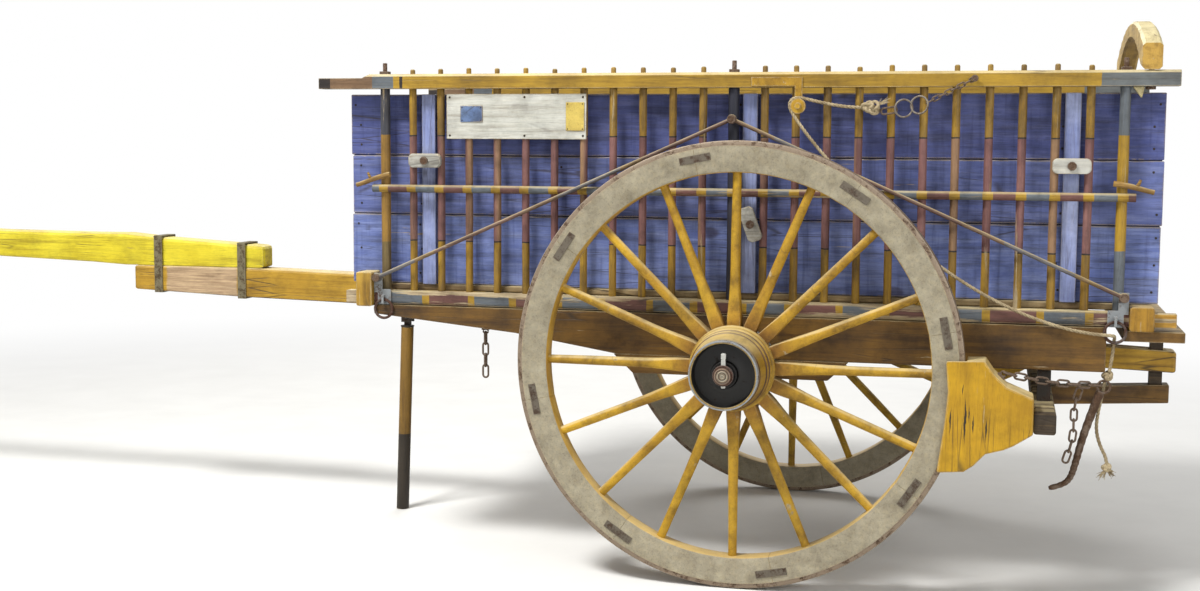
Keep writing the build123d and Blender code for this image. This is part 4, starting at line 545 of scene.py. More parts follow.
BAND_LOW = STAKE_LOW - 60
BAND_HIGH = 1100.0
PATCH = (2190.0, 2520.0)
STAKE_RINGS = (385.0, 760.0)
SILL_PAINTED = (-1260.0, 1396.0)
BLOCK_CRACKS = [
    # x, lowest z, highest z, half width in mm
    (-754.0, -228.0, -48.0, 3.4), (-779.0, -188.0, -112.0, 2.4), (-819.0, -212.0, -118.0, 2.2),
    (-744.0, -60.0, -16.0, 1.8), (-708.0, -194.0, -88.0, 2.4), (-765.0, -150.0, -84.0, 1.8),
]


def block_paint(s, cloud):
    """Deep ochre with short open cracks near the middle of the block."""
    colour = s.tones(cloud, *OCHRE)
    wave = s.times(s.minus(s.noise(s.stretched((1.0, 1.0, 1.0)), 26.0), 0.5), 0.012)
    x = s.plus(s.axis("X"), wave)
    for place, low, high, half in BLOCK_CRACKS:
        off = s.size(s.minus(x, x_at(place)))
        along = s.size(s.minus(s.axis("Z"), z_at((low + high) / 2)))
        taper = s.steps(along, 0.0, (high - low) / 2000, half / 1000, 0.0)
        colour = s.mix(s.math("LESS_THAN", off, taper), colour, (40, 32, 20))
    return colour


def splice_paint(s, cloud):
    """Mustard with a patch between the two hoops where the paint has gone, and painted shade in dark brown on
    the faces that look down.
    """
    x = s.plus(s.axis("X"), s.times(s.noise(s.object, 24.0), 0.02))
    paint = s.tones(cloud, (156, 118, 28), (196, 156, 48))
    wood = s.tones(s.noise(s.stretched(GRAIN["x"]), 7.0, 6.0), (150, 122, 92), (196, 170, 136))
    rear, front = PATCH
    behind = s.steps(x, x_at(front - 8), x_at(front), 1.0, 0.0)
    patch = s.times(s.steps(x, x_at(rear), x_at(rear + 10)), behind)
    # Painted shade: faces that look down turn dark brown.
    under = s.steps(s.axis("Z", s.normal), -0.75, -0.4)
    return s.mix(under, (70, 48, 28), s.mix(patch, paint, wood))


def stake_paint(s, cloud):
    """Mustard ends and a dusty red middle between two dark rings, faded stake by stake."""
    z = s.plus(s.axis("Z"), s.times(s.noise(s.object, 30.0), 0.006))
    colour = s.tones(cloud, (120, 90, 24), (168, 132, 40))
    dull = s.noise(s.stretched((3.0, 3.0, 0.5), (4, 4, 4)), 9.0, 5.0, 0.7)
    colour = s.tint(colour, dull, 0.42, 0.62, 0.6, (98, 78, 44))
    red = s.tones(cloud, (96, 62, 60), (132, 94, 90))
    single = s.noise(s.stretched((1.0, 0.2, 0.05)), 9.0, 0.0)
    red = s.tint(red, single, 0.52, 0.6, 0.6, (146, 118, 78))
    lower, upper = STAKE_RINGS
    fields = (lower, upper, red), (lower - 3, lower + 2, DARK), (upper - 2, upper + 3, DARK)
    for low, high, inside in fields:
        above = s.math("GREATER_THAN", z, z_at(low) + 0.003)
        colour = s.mix(s.times(above, s.math("LESS_THAN", z, z_at(high) + 0.003)), colour, inside)
    return colour


def make_rope_material():
    s = Shader("rope_fibre", 0.0, 0.2)
    fibres = s.noise(s.stretched((1.0, 1.0, 1.0)), 420.0, 3.0, 0.6)
    cloud = s.noise(s.object, 20.0, 4.0)
    colour = s.tones(cloud, (146, 128, 98), (198, 182, 148))
    colour = s.tint(colour, fibres, 0.35, 0.65, 0.5, (92, 76, 54), "MULTIPLY")
    return s.finish(colour, 0.92, s.bump(fibres, 0.6, 0.0008))


FRONT_STAKE_BANDS = [
    # place in mm, colour
    (BAND_LOW, (112, 96, 60)), (380.0, (146, 112, 48)), (765.0, (64, 66, 76)),
]
REAR_STAKE_BANDS = [
    # place in mm, colour
    (BAND_LOW, GREY_BLUE), (396.0, BAND_YELLOW), (773.0, GREY_BLUE),
]
POST_BANDS = [
    # place in mm, colour
    (BAND_LOW, (44, 44, 58)), (640.0, (28, 30, 48)),
]
TOP_RAIL_BANDS = [
    # place in mm, colour
    (-1400.0, (104, 110, 114)), (-1148.0, BAND_YELLOW), (1240.0, DARK), (1247.0, BAND_YELLOW),
    (1272.0, GREY_BLUE), (1360.0, (122, 96, 72)), (1518.0, DARK),
]
SILL_BANDS = [
    # share of the repeat, colour
    (0.0, BAND_YELLOW), (0.073, DUSTY_RED), (0.521, BAND_YELLOW), (0.604, GREY_BLUE),
]
MID_RAIL_REPEAT = [
    # share of the repeat, colour
    (0.0, BAND_YELLOW), (0.08, GREY_BLUE), (0.42, BAND_YELLOW), (0.58, DUSTY_RED), (0.92, BAND_YELLOW),
]
STAY_BANDS = [
    # share of the repeat, colour
    (0.0, (112, 88, 80)), (0.42, (126, 104, 72)), (0.52, (108, 106, 110)), (0.82, (120, 98, 80)),
]
PROP_BANDS = [
    # place in mm, colour
    (-760.0, (52, 44, 34)), (-441.0, (134, 102, 38)), (20.0, (44, 38, 32)),
]


def sill_paint(s, cloud):
    """The sills' bands, with bare wood on the tips in front and ochre on those behind."""
    colour = repeating_bands(328.0, SILL_BANDS, 978.0)(s, cloud)
    wood = s.tones(s.noise(s.stretched(GRAIN["x"]), 7.0, 6.0), (150, 130, 100), (204, 188, 158))
    rear, front = SILL_PAINTED
    colour = s.mix(s.steps(s.axis("X"), x_at(front), x_at(front + 2)), colour, wood)
    ochre = s.tones(cloud, (150, 104, 28), (196, 152, 56))
    return s.mix(s.steps(s.axis("X"), x_at(rear - 2), x_at(rear)), ochre, colour)


RUST = (92, 68, 50)
# Mustard ochre of the beams under the bed, darkened to brown as painted shade of the bed above them.
BEAM_SHADED_BROWN = [(68, 46, 14), (120, 86, 26)]
PALE_WOOD = ((206, 190, 150), (140, 118, 84))
materials = {
    "rail": worn_paint("rail_paint", bands("X", -1400.0, 1570.0, TOP_RAIL_BANDS), "x", 0.36, 0.8, top_fade_and_light=0.75),
    "mid": worn_paint("mid_rail_paint", repeating_bands(2 * STAKE_PITCH, MID_RAIL_REPEAT, STAKE_FIRST_X), "x",
                      0.47, 0.0, dirt=0.5, cracks=0.0, stain=0.8),
    "sill": worn_paint("sill_paint", sill_paint, "x", 0.49, 1.0, dirt=0.45, cracks=0.8, top_fade_and_light=0.8, stain=0.7),
    "stay": worn_paint("stay_paint", repeating_bands(760.0, STAY_BANDS, 40.0), "x", 0.38, 0.0, cracks=0.0),
    "stake": worn_paint("stake_paint", stake_paint, "z", 0.39, 0.0, dirt=0.5, cracks=0.3),
    "front_stake": worn_paint("front_stake_paint", bands("Z", BAND_LOW, BAND_HIGH, FRONT_STAKE_BANDS), "z",
                              0.39, 0.0),
    "rear_stake": worn_paint("rear_stake_paint", bands("Z", BAND_LOW, BAND_HIGH, REAR_STAKE_BANDS), "z",
                             0.39, 0.0),
    "post": worn_paint("post_paint", bands("Z", BAND_LOW, BAND_HIGH, POST_BANDS), "z", 0.33, 0.0),
    "wall": worn_paint("wall_paint", wall_paint, "x", 0.35, 0.7, cracks=0.7, rough=0.66, top_fade_and_light=0.3),
    "seam": bare_timber("seam_shade", (44, 38, 46), (26, 22, 28)),
    "batten": worn_paint("batten_paint", [(110, 122, 172), (158, 168, 204)], "z", 0.37, 0.7),
    "yellow": worn_paint("yellow_paint", YELLOW, "x", 0.34, 0.8, dirt=0.3, cracks=0.8, top_fade_and_light=0.5, hewn=3.5),
    "splice": worn_paint("splice_paint", splice_paint, "x", 0.37, 0.8, cracks=0.8, top_fade_and_light=0.75),
    "rear_end": worn_paint("rear_end_paint", [(128, 92, 20), (170, 128, 36)], "z", 0.39, 0.8, dirt=0.6),
    "front_end": worn_paint("front_end_paint", [(150, 114, 34), (188, 152, 64)], "z", 0.41, 1.0,
                            bare=PALE_WOOD, top_fade_and_light=0.7),
    "pulley": worn_paint("pulley_paint", [(140, 104, 22), (190, 150, 40)], "none", 0.38, 0.8, dirt=0.5),
    "beam": worn_paint("beam_shaded_paint", BEAM_SHADED_BROWN, "x", 0.35, 0.6, dirt=0.6, cracks=0.8, top_fade_and_light=0.3, stain=0.7),
    "block": worn_paint("block_paint", block_paint, "z", 0.33, 1.0, cracks=0.6, bare=PALE_WOOD, top_fade_and_light=0.8,
                        stain=0.3),
    "cream": worn_paint("cream_paint", CREAM, "y", 0.36, 0.6, top_fade_and_light=0.2),
    "arch": worn_paint("arch_paint", arch_paint, "y", 0.37, 0.5, top_fade_and_light=0.2),
    "white": worn_paint("white_paint", [(150, 150, 144), (198, 196, 186)], "x", 0.42, 0.8, dirt=0.6),
    "sign": worn_paint("sign_paint", [(178, 178, 168), (204, 204, 196)], "x", 0.30, 0.7, cracks=0.2),
    "plate_blue": worn_paint("plate_blue", [(70, 92, 136), (110, 132, 168)], "none", 0.34, 0.5),
    "plate_yellow": worn_paint("plate_yellow", [(186, 160, 74), (208, 186, 98)], "none", 0.34, 0.5),
    "spoke": worn_paint("spoke_paint", spoke_paint, "none", 0.37, 0.7, dirt=0.5, cracks=0.3, top_fade_and_light=0.55),
    "rim": worn_paint("rim_paint", rim_paint, "none", 0.28, 0.6, dirt=0.22, cracks=0.0, stain=0.25),
    "hub": worn_paint("hub_paint", MUSTARD, "y", 0.35, 0.7, dirt=0.5),
    # Hub grooves in dark brown: painted shade in the hollows, partly grime.
    "groove": worn_paint("groove_shade_and_grime", [(70, 44, 20), (104, 68, 28)], "none", 0.3, 0.0, cracks=0.0),
    "prop": worn_paint("prop_paint", bands("Z", -760.0, 40.0, PROP_BANDS), "z", 0.37, 0.6, top_fade_and_light=0.2),
    "bare": bare_timber("bare_timber", (166, 146, 108), (104, 84, 56)),
    "branch": bare_timber("branch_wood", (166, 132, 70), (104, 76, 40)),
    "dark": bare_timber("dark_timber", (84, 70, 52), (44, 36, 27)),
    "tyre": forged_iron("tyre_iron", (132, 116, 98), (100, 78, 60), 0.4, 0.5, 0.35, (190, 178, 158)),
    "rust": forged_iron("rusty_iron", (104, 88, 74), RUST, 0.6, 0.62, 0.3, (146, 134, 120)),
    "hoop": forged_iron("hoop_iron", (112, 104, 80), (86, 70, 46), 0.5, 0.7, 0.2, (150, 142, 116)),
    "cramp": forged_iron("cramp_iron", (96, 88, 76), (78, 60, 46), 0.5, 0.7, 0.2, (128, 118, 102)),
    "dark_iron": forged_iron("dark_iron", (46, 42, 38), (64, 48, 36), 0.4, 0.55, 0.5),
    "grey_iron": forged_iron("grey_iron", (128, 132, 134), RUST, 0.36, 0.55, 0.25, (170, 170, 166)),
    "ring": forged_iron("ring_iron", (84, 74, 68), (84, 54, 40), 0.6, 0.6, 0.3, (130, 120, 112)),
    "bright": forged_iron("worn_ring_iron", (116, 108, 98), RUST, 0.45, 0.55, 0.3, (158, 150, 138)),
    "pin": forged_iron("pin_iron", (176, 176, 170), RUST, 0.3, 0.5, 0.2, (214, 212, 204)),
    "grease": forged_iron("greasy_iron", (24, 23, 22), (38, 30, 24), 0.3, 0.38, 0.3),
    "axle": axle_iron(),
    "rope": make_rope_material(),
}


# Shapes


def circle(count):
    """Cosine and sine at even steps round."""
    angles = [2 * math.pi * step / count for step in range(count)]
    return [(math.cos(angle), math.sin(angle)) for angle in angles]


def across(along, side):
    """Two directions across a path, turned as little as possible from the last ones."""
    along = along.normalized()
    if side is None:
        side = along.orthogonal().normalized()
    side = (side - along * side.dot(along)).normalized()
    return side, along.cross(side)


def placed(name, data):
    """New object in the scene."""
    piece = bpy.data.objects.new(name, data)
    bpy.context.scene.collection.objects.link(piece)
    return piece


class Shape:
    """Collects joined meshes and turns them into one object."""

    def __init__(self):
        self.points = []
        self.faces = []
        self.slots = []

    def strip(self, rings, slot=0, caps=True, loop=False):
        """Skin over rings of equally many points, with capped ends or as a closed loop."""
        start = len(self.points)
        count = len(rings[0])
        for ring in rings:
            self.points.extend(Vector(p) for p in ring)
        for row in range(len(rings) if loop else len(rings) - 1):
            low = start + row * count
            high = start + (row + 1) % len(rings) * count
            for i in range(count):
                j = (i + 1) % count
                self.faces.append((low + i, low + j, high + j, high + i))
                self.slots.append(slot)
        if caps and not loop:
            self.faces.append(tuple(start + i for i in reversed(range(count))))
            self.faces.append(tuple(start + (len(rings) - 1) * count + i for i in range(count)))
            self.slots += [slot, slot]

    def tube(self, path, radius, sides, slot=0, loop=False):
        """Round tube along a path in metres; radius is one value or one for each point."""
        path = [Vector(p) for p in path]
        radii = radius if isinstance(radius, list) else [radius] * len(path)
        rings = []
        side = None
        for index, point in enumerate(path):
            before = path[index - 1] if index > 0 or loop else path[0]
            after = path[(index + 1) % len(path)] if index + 1 < len(path) or loop else path[-1]
            side, other = across(after - before, side)
            rings.append([point + (side * c + other * s) * radii[index] for c, s in circle(sides)])
        self.strip(rings, slot, loop=loop)

    def lathe(self, profile, middle, segments, slot=0, loop=False, caps=True):
        """Turned shape about an axis across the cart; profile holds (y, radius) in mm."""
        rings = []
        for y, radius in profile:
            rings.append([at(middle[0] + radius * c, y, middle[1] + radius * s) for c, s in circle(segments)])
        self.strip(rings, slot, caps, loop)

    def upright(self, x, y, profile, sides, slot=0, lean=(0.0, 0.0)):
        """Turned shape about an upright axis; profile holds (z, radius) in mm."""
        rings = []
        low = profile[0][0]
        high = profile[-1][0]
        for z, radius in profile:
            share = math.sin(math.pi * (z - low) / (high - low))
            middle = (x + lean[0] * share, y + lean[1] * share)
            rings.append([at(middle[0] + radius * c, middle[1] + radius * s, z) for c, s in circle(sides)])
        self.strip(rings, slot)

    def box(self, low, high, bevel, slot=0, turn=None):
        """Block with all its edges bevelled, between two corners in mm; turn moves each point."""
        move = turn if turn else lambda p: p
        rings = []
        for z, inset in ((low[2], bevel), (low[2] + bevel, 0), (high[2] - bevel, 0), (high[2], bevel)):
            x0, x1 = low[0] + inset, high[0] - inset
            y0, y1 = low[1] + inset, high[1] - inset
            c = bevel * 0.7
            ring = [
                (x0 + c, y0, z), (x1 - c, y0, z), (x1, y0 + c, z), (x1, y1 - c, z),
                (x1 - c, y1, z), (x0 + c, y1, z), (x0, y1 - c, z), (x0, y0 + c, z),
            ]
            rings.append([at(*move(Vector(p))) for p in ring])
        self.strip(rings, slot)

    def torus(self, middle, axis, radius, wire, segments, sides, slot=0):
        """Round ring; middle in mm, axis a direction."""
        first, second = across(Vector(axis), None)
        path = [at(*middle) + (first * c + second * s) * radius / 1000 for c, s in circle(segments)]
        self.tube(path, wire / 1000, sides, slot, loop=True)

    def build(self, name, used, body, replaced, sharp=38.0):
        """One object with its materials, riding on a body and standing for CAD nodes."""
        mesh = bpy.data.meshes.new(name)
        mesh.from_pydata([tuple(p) for p in self.points], [], self.faces)
        for material in used:
            mesh.materials.append(materials[material])
        mesh.polygons.foreach_set("material_index", self.slots)
        mesh.update()
        shape = bmesh.new()
        shape.from_mesh(mesh)
        bmesh.ops.recalc_face_normals(shape, faces=shape.faces)
        shape.to_mesh(mesh)
        shape.free()
        mesh.shade_smooth()
        mesh.set_sharp_from_angle(angle=math.radians(sharp))
        piece = placed(name, mesh)
        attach(piece, body)
        if replaced:
            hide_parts(*replaced)
        return piece


WELD_REACH = 0.00002
BEVEL_ANGLE = math.radians(35)


def dress(node, material, bevel, segments=2):
    """Material and rounded edges for a node that keeps its shape."""
    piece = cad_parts[node]
    piece.data.materials.clear()
    piece.data.materials.append(materials[material])
    weld = piece.modifiers.new("weld", "WELD")
    weld.merge_threshold = WELD_REACH
    if bevel:
        rounding = piece.modifiers.new("bevel", "BEVEL")
        rounding.width = bevel
        rounding.segments = segments
        rounding.limit_method = "ANGLE"
        rounding.angle_limit = BEVEL_ANGLE


# Wheels


def ring_point(side, radius, angle, offset):
    """Point on a wheel; offset is outward from the rim's middle plane."""
    return at(radius * math.cos(angle), side * (HALF_TRACK + offset), radius * math.sin(angle))


def turned(radius, wide, angle):
    """Place in x and z at a radius from the axle and a distance across it."""
    c, s = math.cos(angle), math.sin(angle)
    return radius * c - wide * s, radius * s + wide * c


def on_wheel(side, profile):
    """Profile on one wheel, from offsets outward from the rim's middle plane."""
    return [(side * (HALF_TRACK + offset), radius) for offset, radius in profile]


def make_tyre(side, body, suffix):
    shape = Shape()
    rings = []
    for step in range(TYRE_STEPS):
        angle = 2 * math.pi * step / TYRE_STEPS
        rings.append([ring_point(side, radius, angle, offset) for offset, radius in TYRE_SECTION])
    shape.strip(rings, loop=True)
    shape.build(f"tyre_{suffix}", ["tyre"], body, [f"wheel_tyre_{suffix}"])


def make_felloes(side, body, suffix):
    """Felloes with eased inner edges and a fine joint between them."""
    shape = Shape()
    half = FELLOE_WIDTH / 2
    edge = FELLOE_EDGE
    near = 0.35 * edge
    low = FELLOE_INNER
    section = [
        (low + edge, -half), (FELLOE_OUTER, -half), (FELLOE_OUTER, half), (low + edge, half),
        (low + near, half - near), (low, half - edge), (low, -half + edge), (low + near, -half + near),
    ]
    joint = 1.0 / FELLOE_OUTER
    for index in range(FELLOE_COUNT):
        start = math.pi / 2 - FELLOE_PITCH / 4 + index * FELLOE_PITCH + joint / 2
        rings = []
        for step in range(FELLOE_STEPS + 1):
            end = 1.0 if step in (0, FELLOE_STEPS) else 0.0
            angle = start + (FELLOE_PITCH - joint) * step / FELLOE_STEPS
            ring = []
            for radius, offset in section:
                inset = end * (0 if radius > low + edge else 1.2)
                ring.append(ring_point(side, radius + inset, angle, offset * (1 - 0.02 * end)))
            rings.append(ring)
        shape.strip(rings)
    shape.build(f"felloes_{suffix}", ["rim"], body, [f"wheel_felloes_{suffix}"], 32.0)


def spoke_section(width, depth, bevel):
    """Points of a section that goes from a bevelled rectangle to an oval."""
    points = []
    for step in range(SPOKE_SIDES):
        angle = 2 * math.pi * (step + 0.5) / SPOKE_SIDES
        c, s = math.cos(angle), math.sin(angle)
        power = 2 / (2 + 9 * (1 - bevel))
        points.append((
            width / 2 * math.copysign(abs(c) ** power, c), depth / 2 * math.copysign(abs(s) ** power, s),
        ))
    return points


SPOKE_STATIONS = [
    # radius, width, depth, roundness from 0 to 1
    (HUB_SEAT_RADIUS - 6, 46, 54, 0.05), (HUB_SEAT_RADIUS + 30, 46, 54, 0.1),
    (HUB_SEAT_RADIUS + 54, 44, 52, 0.25), (HUB_SEAT_RADIUS + 90, 40, 45, 0.6),
    (HUB_SEAT_RADIUS + 130, 36.5, 38.5, 0.85), (HUB_SEAT_RADIUS + 180, 34, 35, 1.0),
    (HUB_SEAT_RADIUS + 260, 32.5, 33.5, 1.0), (HUB_SEAT_RADIUS + 360, 31, 32, 1.0),
    (FELLOE_INNER - 60, 29.5, 30, 1.0), (FELLOE_INNER - 8, 29, 30, 1.0), (FELLOE_INNER, 31, 33, 1.0),
    (FELLOE_INNER + 3, 31, 33, 1.0),
]
# Slot 3 is the dark brown of the grooves: painted shade in the hollows, partly grime.
HUB_PARTS = [
    # material slot, offsets outward and radii
    (1, [(HUB_BACK, 42.3), (HUB_BACK, 105), (HUB_BACK + 25, 107), (HUB_BACK + 27, 112), (HUB_BACK + 60, 117),
         (-34, 125)]),
    (3, [(-34, 125), (-30, 123), (-26, 126)]),
    (1, [(-26, 126), (-24, 129), (-22, 128), (44, 128)]),
    (3, [(44, 128), (47, 129), (49, 133)]),
    (1, [(49, 133), (51, 140), (55, 143), (67, 143), (71, 140), (73, 136)]),
    (3, [(73, 136), (75, 132.5), (78, 132.5), (80, 135)]),
    (1, [(80, 135), (83, 137), (88, 137), (92, 134.5), (94, 132)]),
    (3, [(94, 132), (96, 129), (100, 128.5)]),
    (1, [(100, 128.5), (118, 129), (122, 131.5), (128, 131.5), (132, 128.5)]),
    (3, [(132, 128.5), (134, 125.5), (138, 124.5)]),
    (1, [(138, 124.5), (160, 120), (184, 117), (200, 116)]),
    (3, [(200, 116), (203, 114), (206, 113.2)]),
    (1, [(206, 113.2), (HUB_FRONT - 26, 113), (HUB_FRONT - 26, 108), (HUB_FRONT, 108), (HUB_FRONT, 104.5),
         (HUB_FRONT - 3, 103.6)]),
    (2, [(HUB_FRONT - 3, 103.6), (HUB_FRONT - 28, 102), (HUB_FRONT - 34, 98), (HUB_FRONT - 34, 60),
         (HUB_FRONT - 31, 55), (HUB_FRONT - 31, 46), (HUB_FRONT - 34, 42.3), (HUB_BACK, 42.3)]),
]


def make_spokes(side, body, suffix):
    """Dished spokes, each a little bowed, and the turned hub."""
    shape = Shape()
    for index in range(SPOKE_COUNT):
        angle = math.pi / 2 + index * 2 * math.pi / SPOKE_COUNT
        wobble = random.uniform(-1.0, 1.0)
        rings = []
        for radius, width, depth, roundness in SPOKE_STATIONS:
            share = (radius - HUB_SEAT_RADIUS) / (FELLOE_INNER - HUB_SEAT_RADIUS)
            lift = SPOKE_DISH * (1 - share)
            swell = 1 + 0.025 * math.sin(radius / 60 + index)
            ring = []
            for wide, deep in spoke_section(width * swell, depth * swell, roundness):
                wide += wobble * math.sin(math.pi * share)
                x, z = turned(radius, wide, angle)
                ring.append(at(x, side * (HALF_TRACK + lift + deep), z))
            rings.append(ring)
        shape.strip(rings)
    for slot, profile in HUB_PARTS:
        shape.lathe(on_wheel(side, profile), (0, 0), 96, slot, caps=False)
    shape.build(
        f"hub_and_spokes_{suffix}", ["spoke", "hub", "grease", "groove"], body,
        [f"wheel_hub_and_spokes_{suffix}"], 34.0,
    )


HUB_IRONS = [
    # material slot, turning steps, offsets outward and radii
    (0, 96, [(HUB_FRONT - 25.7, 108.3), (HUB_FRONT - 25.7, 112.2), (HUB_FRONT - 24.6, 113),
             (HUB_FRONT + 1, 113), (HUB_FRONT + 2, 112), (HUB_FRONT + 2, 108.3)]),
    (0, 96, [(HUB_BACK, 107.3), (HUB_BACK, 111.2), (HUB_BACK + 1, 112), (HUB_BACK + 24.7, 112),
             (HUB_BACK + 25.7, 111.2), (HUB_BACK + 25.7, 107.3)]),
    (1, 64, [(HUB_BACK, AXLE_RADIUS + 0.1), (HUB_BACK, 42), (HUB_FRONT - 24, 42), (HUB_FRONT - 22, 40.5),
             (HUB_FRONT - 22, AXLE_RADIUS + 0.1)]),
]
CRAMP_NAIL = [
    # radius, height over the felloe
    (4.5, 2.6), (3.0, 3.0),
]


def make_wheel_irons(side, body, suffix):
    """Bands and bush of the hub, and a nailed cramp over each felloe joint."""
    shape = Shape()
    for slot, steps, profile in HUB_IRONS:
        shape.lathe(on_wheel(side, profile), (0, 0), steps, slot, loop=True)
    middle = FELLOE_OUTER - FELLOE_DEPTH / 2 + CRAMP_OFFSET
    low = FELLOE_WIDTH / 2 + 0.2
    length = CRAMP_LENGTH / 2
    height = CRAMP_HEIGHT / 2
    for index in range(FELLOE_COUNT):
        angle = math.pi / 2 - FELLOE_PITCH / 4 + index * FELLOE_PITCH

        def turn(p, angle=angle):
            x, z = turned(middle + p.y, p.x, angle)
            return (x, side * (HALF_TRACK + low + p.z), z)

        shape.box((-length, -height, 0), (length, height, CRAMP_THICKNESS), 1.0, 2, turn)
        for place in (-0.72 * length, 0.72 * length):
            rings = []
            for radius, lift in CRAMP_NAIL:
                ring = [turn(Vector((place + radius * c, radius * s, lift))) for c, s in circle(8)]
                rings.append([at(*p) for p in ring])
            shape.strip(rings, 2)
    shape.build(
        f"wheel_irons_{suffix}_fine", ["grey_iron", "grease", "cramp"], body, [f"wheel_irons_{suffix}"],
        30.0,
    )


WASHER = [
    # distance from the cart's middle, radius
    (985.3, 27.4), (985.3, 42), (986.3, 43), (991, 43), (992, 42), (992, 34), (991.4, 33), (992, 32),
    (992, 27.4),
]
AXLE_END = [
    # distance from the cart's middle, radius
    (1001.3, 26), (1001.3, 33), (1002.4, 34), (1006, 34), (1007.2, 32.5), (1007.6, 24), (1012, 23.4),
    (1013.2, 22), (1013.4, 14), (1016.6, 13.4), (1017.6, 12), (1017.6, 4), (1016.4, 3), (1016.4, 0.5),
]
LINCHPIN_Y = (992.4, 1001.2)
LINCHPIN = [
    # half width, low z, high z, bevel
    (7, -41, 52, 1.5), (8, 50, 72, 3.0),
]


def on_side(side, profile):
    """Profile on one side of the cart, from distances from its middle."""
    return [(side * y, radius) for y, radius in profile]


def make_axle_ends():
    """Washer, flat linchpin with its head, and stepped end of the axle on both sides."""
    shape = Shape()
    for side in (1, -1):
        shape.lathe(on_side(side, WASHER), (0, 0), 64, 0, loop=True)
        low, high = sorted(side * y for y in LINCHPIN_Y)
        for half, bottom, top, bevel in LINCHPIN:
            shape.box((-half, low, bottom), (half, high, top), bevel, 1)
        shape.lathe(on_side(side, AXLE_END), (0, 0), 40, 2)
    shape.build("axle_pins_fine", ["grease", "pin", "ring"], "bed", ["axle_pins"], 32.0)


def make_wheels():
    for side, suffix in SIDES:
        body = f"wheel_{suffix}"
        make_tyre(side, body, suffix)
        make_felloes(side, body, suffix)
        make_spokes(side, body, suffix)
        make_wheel_irons(side, body, suffix)
    make_axle_ends()


# Sides


def stake_profile(low, high, radius):
    """Slightly uneven round stake with soft ends."""
    steps = 9
    profile = [(low, radius * 0.94)]
    for step in range(steps):
        z = low + 4 + (high - low - 8) * step / (steps - 1)
        profile.append((z, radius * random.uniform(0.94, 0.995)))
    profile.append((high, radius * 0.94))
    return profile


def make_stakes():
    for side, suffix in SIDES:
        shape = Shape()
        for index in range(1, STAKE_COUNT - 1):
            if index == STAKE_COUNT // 2:
                continue
            x = STAKE_FIRST_X - index * STAKE_PITCH
            lean = (random.uniform(-1.2, 1.2), random.uniform(-0.4, 0.4))
            shape.upright(x, side * RAIL_Y, stake_profile(STAKE_LOW, STAKE_HIGH, STAKE_RADIUS), 14, 0, lean)
            top = PEG_TOP - random.uniform(0, 6)
            peg = [(STAKE_HIGH, 1.0), (top - 5, 1.0), (top - 2, 0.86), (top, 0.6)]
            shape.upright(x, side * RAIL_Y, [(z, PEG_RADIUS * share) for z, share in peg], 12)
        shape.build(f"stakes_{suffix}_round", ["stake"], "bed", [f"stakes_{suffix}"])
    shape = Shape()
    iron = [(STAKE_HIGH, 1.0), (END_IRON_TOP - 2, 1.0), (END_IRON_TOP, 0.8)]
    iron = [(z, END_IRON_RADIUS * share) for z, share in iron]
    for side in (1, -1):
        for slot, index in enumerate((0, STAKE_COUNT // 2, STAKE_COUNT - 1)):
            x = STAKE_FIRST_X - index * STAKE_PITCH
            radius = CENTRE_POST_RADIUS if slot == 1 else END_STAKE_RADIUS
            shape.upright(x, side * RAIL_Y, stake_profile(STAKE_LOW, STAKE_HIGH, radius), 18, slot)
            shape.upright(x, side * RAIL_Y, iron, 12, 3)
    used = ["front_stake", "post", "rear_stake", "rust"]
    shape.build("end_stakes_round", used, "bed", ["end_stakes"])


STAY_EYE = [
    # offset from the rod's middle, radius
    (-STAY_EYE_HALF, 8.4), (-STAY_EYE_HALF, STAY_EYE_RADIUS - 2), (-STAY_EYE_HALF + 2, STAY_EYE_RADIUS),
    (STAY_EYE_HALF - 2, STAY_EYE_RADIUS), (STAY_EYE_HALF, STAY_EYE_RADIUS - 2), (STAY_EYE_HALF, 8.4),
]


def make_stays():
    """Round rods with an eye at each bolt."""
    shape = Shape()
    for side in (1, -1):
        eye = on_side(side, [(STAY_Y + offset, radius) for offset, radius in STAY_EYE])
        for x, z in STAY_POINTS:
            shape.lathe(eye, (x, z), 28, 0, loop=True)
        for (x0, z0), (x1, z1) in zip(STAY_POINTS, STAY_POINTS[1:]):
            start, end = at(x0, side * STAY_Y, z0), at(x1, side * STAY_Y, z1)
            along = (end - start).normalized() * STAY_GAP
            path = [start + along + (end - start - 2 * along) * step / 4 for step in range(5)]
            shape.tube(path, STAY_RADIUS / 1000, 12)
    shape.build("stay_rods_round", ["stay"], "bed", ["stay_rods"])


